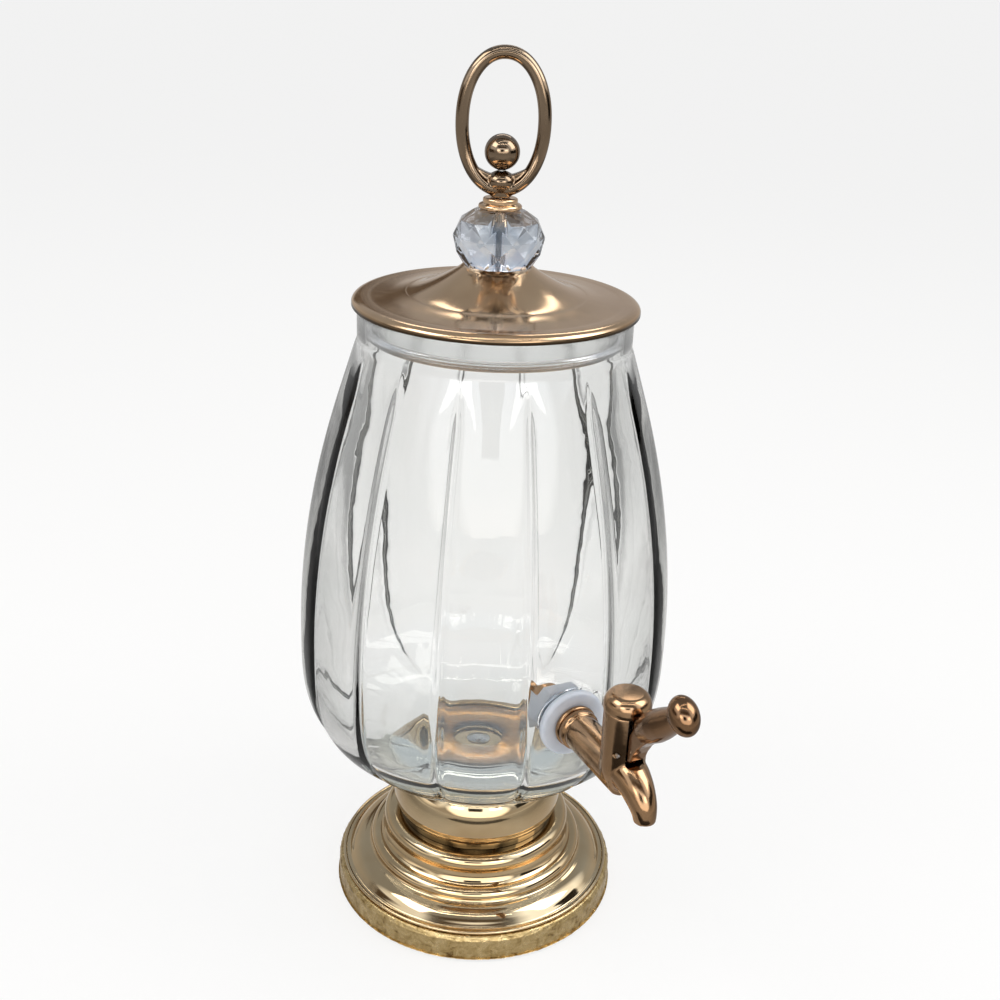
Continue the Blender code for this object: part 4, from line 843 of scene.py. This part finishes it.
# Tap body: one zinc casting, plated rose gold. A trunk leaves the flange, carries the upright
# valve tower and runs on under it into the curved spout. Its joints are cast with soft fillets.
TOWER_X = 0.1463
TOWER_RADIUS = 0.0104
TOWER_BORE = 0.008
TOWER_TOP = 0.035
TRUNK_RADIUS = 0.009
COLLAR = (0.0102, 0.0035)
SHANK_RADIUS = 0.008
SHANK_BORE = 0.0042
SHANK_LONG = 0.019
VALVE_FLOOR = 0.002
SPOUT_ROOT = 0.009
SPOUT_TIP = 0.005
SPOUT_BORE = 0.0035
SPOUT_REACH = 0.0215
SPOUT_DROP = 0.011
SLOT = ((0.0096, 0.0, 0.0122), (0.013, 0.0094, 0.0348))
PIVOT_X = 0.1528
PIVOT_UP = 0.016
PIN_HOLE = 0.0015
CAST_GRAIN = 0.00045
CAST_ROUNDS = 6
ACROSS = (90.0, 0.0, 0.0)
# The tower's foot, and the spout's stations: share of its reach, height and width
TOWER_FOOT = [(TOWER_RADIUS, 0.0068), (0.0101, 0.0028), (0.0088, -0.0018), (0.0062, -0.005),
              (0.003, -0.0062), (0.0, -0.0062)]
SPOUT_LINE = [(0.55, 0.0024, 0.9), (0.76, -0.0008, 0.8), (0.91, -0.0044, 0.7), (0.985, -0.0079, 0.61),
              (1.0, -SPOUT_DROP, SPOUT_TIP / SPOUT_ROOT)]


def tube(name, points, radius, shares=None):
    """A round tube through the points; shares gives its width at each one."""
    curve = bpy.data.curves.new(name, "CURVE")
    curve.dimensions = "3D"
    curve.bevel_depth = radius
    curve.bevel_resolution = 12
    curve.use_fill_caps = True
    spline = curve.splines.new("POLY")
    spline.points.add(len(points) - 1)
    for index, (point, target) in enumerate(zip(points, spline.points)):
        target.co = (*point, 1.0)
        target.radius = shares[index] if shares else 1.0
    made = new_object(name, curve)
    only(made)
    bpy.ops.object.convert(target="MESH")
    edit(made, (bpy.ops.mesh.remove_doubles, {"threshold": 0.000002}), FACES_OUT)
    return made


def cast(name, shapes, grain, rounds):
    """Melts overlapping shapes into one casting and softens where they meet."""
    only(*shapes)
    bpy.ops.object.join()
    piece = bpy.context.active_object
    piece.name = name
    modify(piece, "melt", "REMESH", mode="VOXEL", voxel_size=grain, use_smooth_shade=True)
    modify(piece, "rub", "SMOOTH", factor=0.5, iterations=rounds)
    apply_all(piece)
    return piece


def block(name, middle, size):
    made = new_shape(bpy.ops.mesh.primitive_cube_add, name, size=1.0, location=middle)
    made.scale = size
    settle(made)
    return made


outline = [(0.0, TOWER_TOP), (TOWER_RADIUS - BLUNT, TOWER_TOP), (TOWER_RADIUS, TOWER_TOP - BLUNT)]
outline += [(TOWER_RADIUS, TOWER_TOP - 0.028)] + eased_line(TOWER_FOOT)
tower = spun("tap_casting", outline, 96, (TOWER_X, 0.0))
trunk = rod("trunk", TRUNK_RADIUS, TRUNK_X, TOWER_X + 0.004)
collar = rod("collar", COLLAR[0], TRUNK_X, TRUNK_X + COLLAR[1])
stations = eased_line([(-0.003, 0.005, 1.0), (0.006, 0.0046, 0.99)]
                      + [(share * SPOUT_REACH, height, width) for share, height, width in SPOUT_LINE])
centre_line = [Vector((TOWER_X + across, 0.0, height)) for across, height, _ in stations]
spout = tube("spout", centre_line, SPOUT_ROOT, [width for _, _, width in stations])
casting = cast("tap_casting", [tower, trunk, collar, spout], CAST_GRAIN, CAST_ROUNDS)
combine(casting, rod("shank", SHANK_RADIUS, JAR_IN - SHANK_LONG, TRUNK_X + 0.004), "UNION")
combine(casting, rod("shank bore", SHANK_BORE, JAR_IN - SHANK_LONG - 0.002, TOWER_X - 0.0062))
combine(casting, round_bar("tower bore", TOWER_BORE, 0.05, (TOWER_X, 0.0, VALVE_FLOOR + 0.025), sides=72))
run = [Vector((TOWER_X + across, 0.0, height))
       for across, height in ((0.0, VALVE_FLOOR + 0.0013), (0.0, -0.0003), (0.0035, -0.0022),
                              (0.011, -0.0026))]
run += centre_line[18::3] + [centre_line[-1], centre_line[-1] + Vector((0.0, 0.0, -0.004))]
combine(casting, tube("spout bore", run, SPOUT_BORE))
slot = block("slot", Vector((TOWER_X, 0.0, PIVOT_UP)) + Vector(SLOT[0]), SLOT[1])
edit(slot, ROUNDED_EDGES)
combine(casting, slot)
combine(casting, round_bar("pin way", PIN_HOLE, 0.03, (PIVOT_X, 0.0, PIVOT_UP), ACROSS))
tap_side(casting)
dress(casting, rose_gold, 40.0)
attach(casting, "base")
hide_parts("tap_body")


# Tap cap: a turned and plated button that closes the tower. A small flat disc sits on a wide
# rounded rim, and a plug under it holds the spring.
CAP_RADIUS = 0.011
CAP_HEIGHT = 0.008
CAP_FLAT = 0.0068
CAP_FOOT = 0.0108
CAP_PLUG = (0.0077, 0.0018)

cap_low = TOWER_TOP + GAP
cap_top = cap_low + CAP_HEIGHT
outline = [(0.0, cap_top), (CAP_FLAT, cap_top)]
outline += eased_line([(0.0071, cap_top - 0.00005), (0.0084, cap_top - 0.0007), (0.0099, cap_top - 0.0023),
                       (0.0108, cap_top - 0.0046), (CAP_RADIUS, cap_low + 0.0012)], 5)
outline += [(CAP_FOOT, cap_low), (CAP_PLUG[0], cap_low), (CAP_PLUG[0], cap_low - CAP_PLUG[1]),
            (0.0, cap_low - CAP_PLUG[1])]
cap = spun("tap_cap_button", outline, 96, (TOWER_X, 0.0))
tap_side(cap)
dress(cap, rose_gold)
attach(cap, "base")
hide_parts("tap_cap")


# Tap lever: one plated casting. Its hub turns on a cross pin in the tower, a forked tongue lifts
# the stem, and a thick arm comes out of the slot and ends in an egg-shaped knob.
HUB_RADIUS = 0.0028
LEVER_WIDE = 0.0084
TONGUE = ((-0.003, 0.0, 0.0), (0.007, 0.0082, 0.003))
FORK = ((-0.00615, 0.0, 0.0), (0.0047, 0.004, 0.01))
ARM_RADIUS = 0.0076
ARM_ROOT = Vector((0.0099, 0.0, 0.0176))
KNOB_AT = Vector((0.0352, 0.0, 0.0395))
KNOB_RADIUS = 0.0067
KNOB_LENGTH = 0.0179
LEVER_GRAIN = 0.00036
LEVER_ROUNDS = 9
# The lever's plating: a darker copy of the tap's rose gold, with painted shade for the darker reflections of
# the arm and knob
LEVER_SHADED_GOLD = ((0.28, 0.16, 0.085), (0.2, 0.11, 0.055), 0.08, 0.18)
# The fin that joins hub and arm, and the arm's widths along its length
FIN = [(-0.0013, -0.0012), (0.003, -0.0026), (0.0052, -0.0012), (0.007, 0.0035), (0.01, 0.0085),
       (0.015, 0.014), (0.0195, 0.019), (0.0134, 0.0248), (0.0051, 0.0154), (-0.0013, 0.005)]
ARM_WIDTHS = {0.0: 0.84, 0.15: 0.92, 0.3: 0.97, 0.46: 0.93, 0.62: 0.83, 0.8: 0.7, 1.0: 0.62}


def cut_plate(name, outline, thickness):
    """A plate of the given outline, seen from the front, with its middle on the plane y = 0."""
    plate = new_shape(bpy.ops.mesh.primitive_circle_add, name, vertices=len(outline), radius=0.01,
                      fill_type="NGON")
    for vertex, (across, height) in zip(plate.data.vertices, outline):
        vertex.co = (across, -thickness / 2, height)
    through = {"TRANSFORM_OT_translate": {"value": (0.0, thickness, 0.0)}}
    edit(plate, (bpy.ops.mesh.extrude_region_move, through), FACES_OUT)
    return plate


hub = round_bar("hub", HUB_RADIUS, LEVER_WIDE, (0.0, 0.0, 0.0), ACROSS, 48)
tongue = block("tongue", *TONGUE)
fin = cut_plate("fin", FIN, LEVER_WIDE)
arm = tube("arm", [ARM_ROOT.lerp(KNOB_AT, share) for share in ARM_WIDTHS], ARM_RADIUS,
           list(ARM_WIDTHS.values()))
lean = degrees(atan2(KNOB_AT.z - ARM_ROOT.z, KNOB_AT.x - ARM_ROOT.x))
knob = new_shape(bpy.ops.mesh.primitive_uv_sphere_add, "knob", (0.0, -lean - 90.0, 0.0), segments=48,
                 ring_count=24, radius=KNOB_RADIUS, location=KNOB_AT)
knob.scale = (0.5 * KNOB_LENGTH / KNOB_RADIUS, 1.0, 1.0)
settle(knob)
lever = cast("tap_lever_arm", [hub, tongue, fin, arm, knob], LEVER_GRAIN, LEVER_ROUNDS)
combine(lever, round_bar("pin bore", PIN_HOLE, 0.02, (0.0, 0.0, 0.0), ACROSS))
combine(lever, block("fork", *FORK))
lever.data.transform(Matrix.Translation((PIVOT_X, 0.0, PIVOT_UP)))
tap_side(lever)
dress(lever, gold_plating("lever rose gold plating with painted shade", *LEVER_SHADED_GOLD, turned=False), 40.0)
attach(lever, "lever")
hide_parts("tap_lever")


# Lid liner and seal: a moulded clear plastic ring snaps under the metal lid and drops into the
# jar's mouth, and a clear silicone ring round it grips the glass.
LINER_Z = 0.3412
MOUTH = 0.0643
LINER_FLANGE = (0.0662, 0.0028)
LINER_OUTER = 0.0608
LINER_INNER = 0.0573
LINER_LOW = LINER_Z - 0.015
SEAL_LOW = LINER_LOW + 0.0017
LINER_STEPS = 160
LINER_TONES = ((0.84, 0.85, 0.84), (0.94, 0.95, 0.95))
SEAL_TONES = ((0.9, 0.91, 0.92), (0.97, 0.97, 0.97))
# The liner's ledge, out from its side and up from its end, and the seal's ripples, in from the mouth
LEDGE = ((0.0, 0.0014), (0.0012, 0.0014), (0.0015, 0.0011), (0.0015, 0.0003), (0.0012, 0.0))
RIPPLES = ((0.0009, 0.0), (0.0003, 0.0005), (0.0008, 0.0011), (0.0003, 0.0017), (0.0008, 0.0023),
           (0.0004, 0.0028), (0.0009, 0.0032))

flange_r, flange_top = LINER_FLANGE[0], LINER_Z + LINER_FLANGE[1]
outline = [(LINER_INNER + BLUNT, flange_top), (flange_r - BLUNT, flange_top),
           (flange_r, flange_top - BLUNT), (flange_r, LINER_Z + BLUNT),
           (flange_r - BLUNT, LINER_Z), (LINER_OUTER + BLUNT, LINER_Z),
           (LINER_OUTER, LINER_Z - BLUNT)]
outline += [(LINER_OUTER + out, LINER_LOW + rise) for out, rise in LEDGE]
outline += [(LINER_INNER + BLUNT, LINER_LOW), (LINER_INNER, LINER_LOW + BLUNT),
            (LINER_INNER, flange_top - BLUNT)]
liner = spun("lid_liner_ring", closed(outline), LINER_STEPS)
dress(liner, clear_plastic("clear liner plastic", *LINER_TONES, 0.94))
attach(liner, "lid")
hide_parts("lid_liner")
outline = [(LINER_OUTER + GAP, SEAL_LOW)] + [(MOUTH - inset, SEAL_LOW + rise) for inset, rise in RIPPLES]
outline += [(LINER_OUTER + GAP, outline[-1][1])]
seal = spun("lid_seal_ring", closed(outline), LINER_STEPS)
dress(seal, clear_plastic("clear silicone", *SEAL_TONES, 1.0), 50.0)
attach(seal, "lid")
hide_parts("lid_seal")


# Lid: spun from one sheet and plated rose gold. A hollow cone rises from a flat land to the
# crystal, and the outer edge is rolled over the rim of the glass. Shade is painted into the plating under
# the rolled edge.
LID_RADIUS = 0.071
LID_SHEET = 0.001
LID_STEPS = 192
BRIM_Z = 0.3453
LID_TOP = 0.3612
CONE_BASE = 0.0455
CONE_TOP = 0.0174
CONE_HIGH = 0.0138
CONE_HOLLOW = 1.45
CONE_ROWS = 24
LAND = 0.006
EDGE_WIDTH = 0.0048
EDGE_DROP = 0.0042
EDGE_SKIRT = 0.0012
EDGE_ROWS = 18
STUD_HOLE = 0.0023
LID_GOLD = ((0.76, 0.52, 0.31), (0.64, 0.42, 0.24), 0.08, 0.19)
# Painted shade under the rolled edge: heights over its lower edge where it is darkest and where it ends, and
# the share of tone left
LID_PAINTED_SHADE = (0.001, 0.0026, 0.1)

land_end = LID_RADIUS - EDGE_WIDTH
cone = [(STUD_HOLE, LID_TOP), (0.012, LID_TOP), (0.93 * CONE_TOP, LID_TOP)]
cone += [(CONE_TOP + 0.0002, LID_TOP - 0.0004)]
for step in range(1, CONE_ROWS + 1):
    share = step / CONE_ROWS
    cone.append((CONE_TOP + (CONE_BASE - CONE_TOP) * share,
                 LID_TOP - 0.0006 - (CONE_HIGH - 0.0006) * (1.0 - (1.0 - share) ** CONE_HOLLOW)))
foot = eased_line([cone[-2], cone[-1], (0.0525, BRIM_Z + 0.00075), (land_end - LAND, BRIM_Z),
                   (land_end - 0.5 * LAND, BRIM_Z - 0.00002)], 7)
drop = EDGE_DROP - EDGE_SKIRT
outline = cone[:-2] + foot + arc(land_end, BRIM_Z - drop, EDGE_WIDTH, 90, 0, EDGE_ROWS, drop)
outline += [(LID_RADIUS, BRIM_Z - EDGE_DROP)]
cover = spun_sheet("lid_spinning", outline, LID_SHEET, LID_STEPS)
lid_gold = gold_plating("lid rose gold plating", *LID_GOLD)
# Painted shade: the lid's plating is darkened under its rolled edge.
paint_shade_low(lid_gold, BRIM_Z - EDGE_DROP, *LID_PAINTED_SHADE)
dress(cover, lid_gold)
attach(cover, "lid")
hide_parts("lid_cover")


# Crystal knob: a ball of cut glass, ten facets round in staggered belts, drilled for the stud
# that holds the finial on the lid. It is clear; the grey-blue tints of the reflections its facets pick up
# are painted into its colour.
CRYSTAL_Z = 0.3615
CRYSTAL_RADIUS = 0.0224
CRYSTAL_HIGH = 0.0263
CRYSTAL_SIDES = 10
FACET_EDGE = 0.00035
# Width and height of each belt of corners, as shares, and its turn as a share of a facet
BELTS = ((0.76, 0.0, 0.0), (0.945, 0.25, 0.5), (1.0, 0.52, 0.0), (0.87, 0.82, 0.5), (0.57, 1.0, 0.0))
# Painted reflection: grey-blue tones that the clear crystal's facets would pick up from around it
CRYSTAL_PAINTED_TINTS = [(0.3, (0.32, 0.38, 0.47)), (0.5, (0.63, 0.67, 0.72)), (0.72, (0.43, 0.44, 0.51))]

corners = []
for width, rise, stagger in BELTS:
    for side in range(CRYSTAL_SIDES):
        angle = 2.0 * pi * (side + stagger) / CRYSTAL_SIDES
        reach = width * CRYSTAL_RADIUS
        corners.append((reach * cos(angle), AXIS_Y + reach * sin(angle), CRYSTAL_Z + rise * CRYSTAL_HIGH))
crystal = new_shape(bpy.ops.mesh.primitive_circle_add, "cut_crystal", vertices=len(corners))
for vertex, corner in zip(crystal.data.vertices, corners):
    vertex.co = corner
edit(crystal, (bpy.ops.mesh.convex_hull, {"join_triangles": False}),
     (bpy.ops.mesh.dissolve_limited, {"angle_limit": radians(1.0)}), FACES_OUT)
modify(crystal, "polished edges", "BEVEL", width=FACET_EDGE, segments=2, limit_method="ANGLE",
       angle_limit=radians(8))
apply_all(crystal)
combine(crystal, round_bar("drill", STUD_HOLE, 0.05, (0.0, AXIS_Y, CRYSTAL_Z + 0.013)))
dress(crystal, finish("cut crystal", (70.0, 2.0), CRYSTAL_PAINTED_TINTS, (0.0, 0.015), (150.0, 2.0), 0.00003,
                      {"Transmission Weight": 1.0, "IOR": 1.56}), 12.0)
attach(crystal, "lid")
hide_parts("crystal_knob")


# Finial foot: a small turned and plated disc in two steps that seats the ring on the crystal.
# Its tone is the lid's.
FINIAL_Z = 0.3881
FINIAL_FOOT = 0.0105
FINIAL_FOOT_HIGH = 0.0056
STEP_ROUND = 0.001
FOOT_ROUND = 0.0014

top = FINIAL_Z + FINIAL_FOOT_HIGH
step_r = 0.8 * FINIAL_FOOT
step_z = FINIAL_Z + 0.52 * FINIAL_FOOT_HIGH
outline = [(STUD_HOLE, FINIAL_Z), (STUD_HOLE, top), (0.55 * FINIAL_FOOT, top)]
outline += arc(step_r - STEP_ROUND, top - STEP_ROUND, STEP_ROUND, 80, 0, 6)
outline += [(step_r, step_z + 0.0005), (step_r + BLUNT, step_z + 0.0001)]
outline += arc(FINIAL_FOOT - FOOT_ROUND, FINIAL_Z + FOOT_ROUND, FOOT_ROUND, 85, -70, 12)
outline += [(FINIAL_FOOT - 0.0018, FINIAL_Z)]
finial_foot = spun("finial_foot_disc", closed(outline), 96)
dress(finial_foot, lid_gold)
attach(finial_foot, "lid")
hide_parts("finial_foot")


# Finial ring: an upright oval hoop cast in one with its bulb. The bar widens to a saddle at its
# foot, and a thin web fills the corner at both sides of the bulb.
BULB_Z = 0.394
BULB_RADIUS = 0.0068
BULB_HIGH = 0.0104
BULB_NECK = (0.005, 0.002)
BALL_Z = 0.4148
BALL_RADIUS = 0.0084
HOOP_HALF_WIDE = 0.0193
HOOP_HALF_HIGH = 0.0311
HOOP_BAR = 0.0032
HOOP_SQUARE = 2.1
HOOP_SADDLE = 0.6
HOOP_BLANK = 0.02
HOOP_GRAIN = 0.0003
HOOP_ROUNDS = 12
WEB_THICK = 0.005
WEB_HIGH = 0.0165
WEB_DIP = 0.0065
WEB_STEPS = 16
FINIAL_GOLD = ((0.29, 0.21, 0.14), (0.2, 0.14, 0.09), 0.06, 0.15)


def hoop_point(share):
    """A point of the hoop's middle line, as its distance to the side and its height."""
    angle = 2.0 * pi * share
    across = copysign(abs(cos(angle)) ** (2.0 / HOOP_SQUARE), cos(angle))
    rise = copysign(abs(sin(angle)) ** (2.0 / HOOP_SQUARE), sin(angle))
    return (HOOP_HALF_WIDE * across, BULB_Z + HOOP_BAR + HOOP_HALF_HIGH * (1.0 + rise))


hoop = new_shape(bpy.ops.mesh.primitive_torus_add, "hoop", ACROSS, major_segments=160,
                 minor_segments=32, major_radius=HOOP_BLANK, minor_radius=HOOP_BAR)
settle(hoop)
bulb_top = BULB_Z + BULB_NECK[1] + BULB_HIGH
saddle_top = bulb_top + BALL_RADIUS
for vertex in hoop.data.vertices:
    share = atan2(vertex.co.z, vertex.co.x) / (2.0 * pi)
    here, ahead, behind = hoop_point(share), hoop_point(share + 0.002), hoop_point(share - 0.002)
    along = Vector((ahead[0] - behind[0], ahead[1] - behind[1])).normalized()
    outward = hypot(vertex.co.x, vertex.co.z) - HOOP_BLANK
    width = 1.0 + HOOP_SADDLE * ease((saddle_top - here[1]) / (saddle_top - BULB_Z))
    vertex.co = (here[0] + outward * along.y, vertex.co.y * width, here[1] - outward * along.x)
low_part = sorted(point for point in (hoop_point(step / 90) for step in range(90))
                  if point[1] < BULB_Z + WEB_HIGH)
reach = low_part[-1][0]
dipped = [(reach - 2.0 * reach * step / WEB_STEPS,
           BULB_Z + WEB_HIGH - WEB_DIP * (1.0 - (1.0 - 2.0 * step / WEB_STEPS) ** 2))
          for step in range(1, WEB_STEPS)]
web = cut_plate("web", low_part + dipped, WEB_THICK)
outline = [(0.0, bulb_top)] + arc(0.0, bulb_top - BULB_HIGH / 2, BULB_RADIUS, 90, -32, 19, BULB_HIGH / 2)[1:]
outline += [(BULB_NECK[0], BULB_Z + BULB_NECK[1]), (BULB_NECK[0], BULB_Z), (0.0, BULB_Z)]
bulb = spun("bulb", outline, 72, centre=(0.0, 0.0))
ring = cast("finial_hoop", [hoop, web, bulb], HOOP_GRAIN, HOOP_ROUNDS)
combine(ring, block("trim", (0.0, 0.0, BULB_Z - 0.03), (0.06, 0.06, 0.06)))
combine(ring, round_bar("drill", STUD_HOLE, 0.03, (0.0, 0.0, BULB_Z + 0.005)))
ring.data.transform(Matrix.Translation((0.0, AXIS_Y, 0.0)))
finial_gold = gold_plating("finial gold plating", *FINIAL_GOLD, turned=False)
dress(ring, finial_gold, 40.0)
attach(ring, "lid")
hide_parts("finial_ring")


# Finial ball: a turned and polished ball, drilled blind from below, that screws on the stud and
# clamps ring, foot and crystal to the lid.
BALL_LOW = BALL_Z - BALL_RADIUS + 0.0003
DRILL_DEEP = 0.0094

outline = [(0.0, BALL_Z + BALL_RADIUS)] + arc(0.0, BALL_Z, BALL_RADIUS, 90, -74, 40)[1:]
outline += [(STUD_HOLE, BALL_LOW), (STUD_HOLE, BALL_LOW + DRILL_DEEP), (0.0, BALL_LOW + DRILL_DEEP)]
ball = spun("finial_ball_nut", outline, 96)
dress(ball, finial_gold, 40.0)
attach(ball, "lid")
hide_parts("finial_ball")
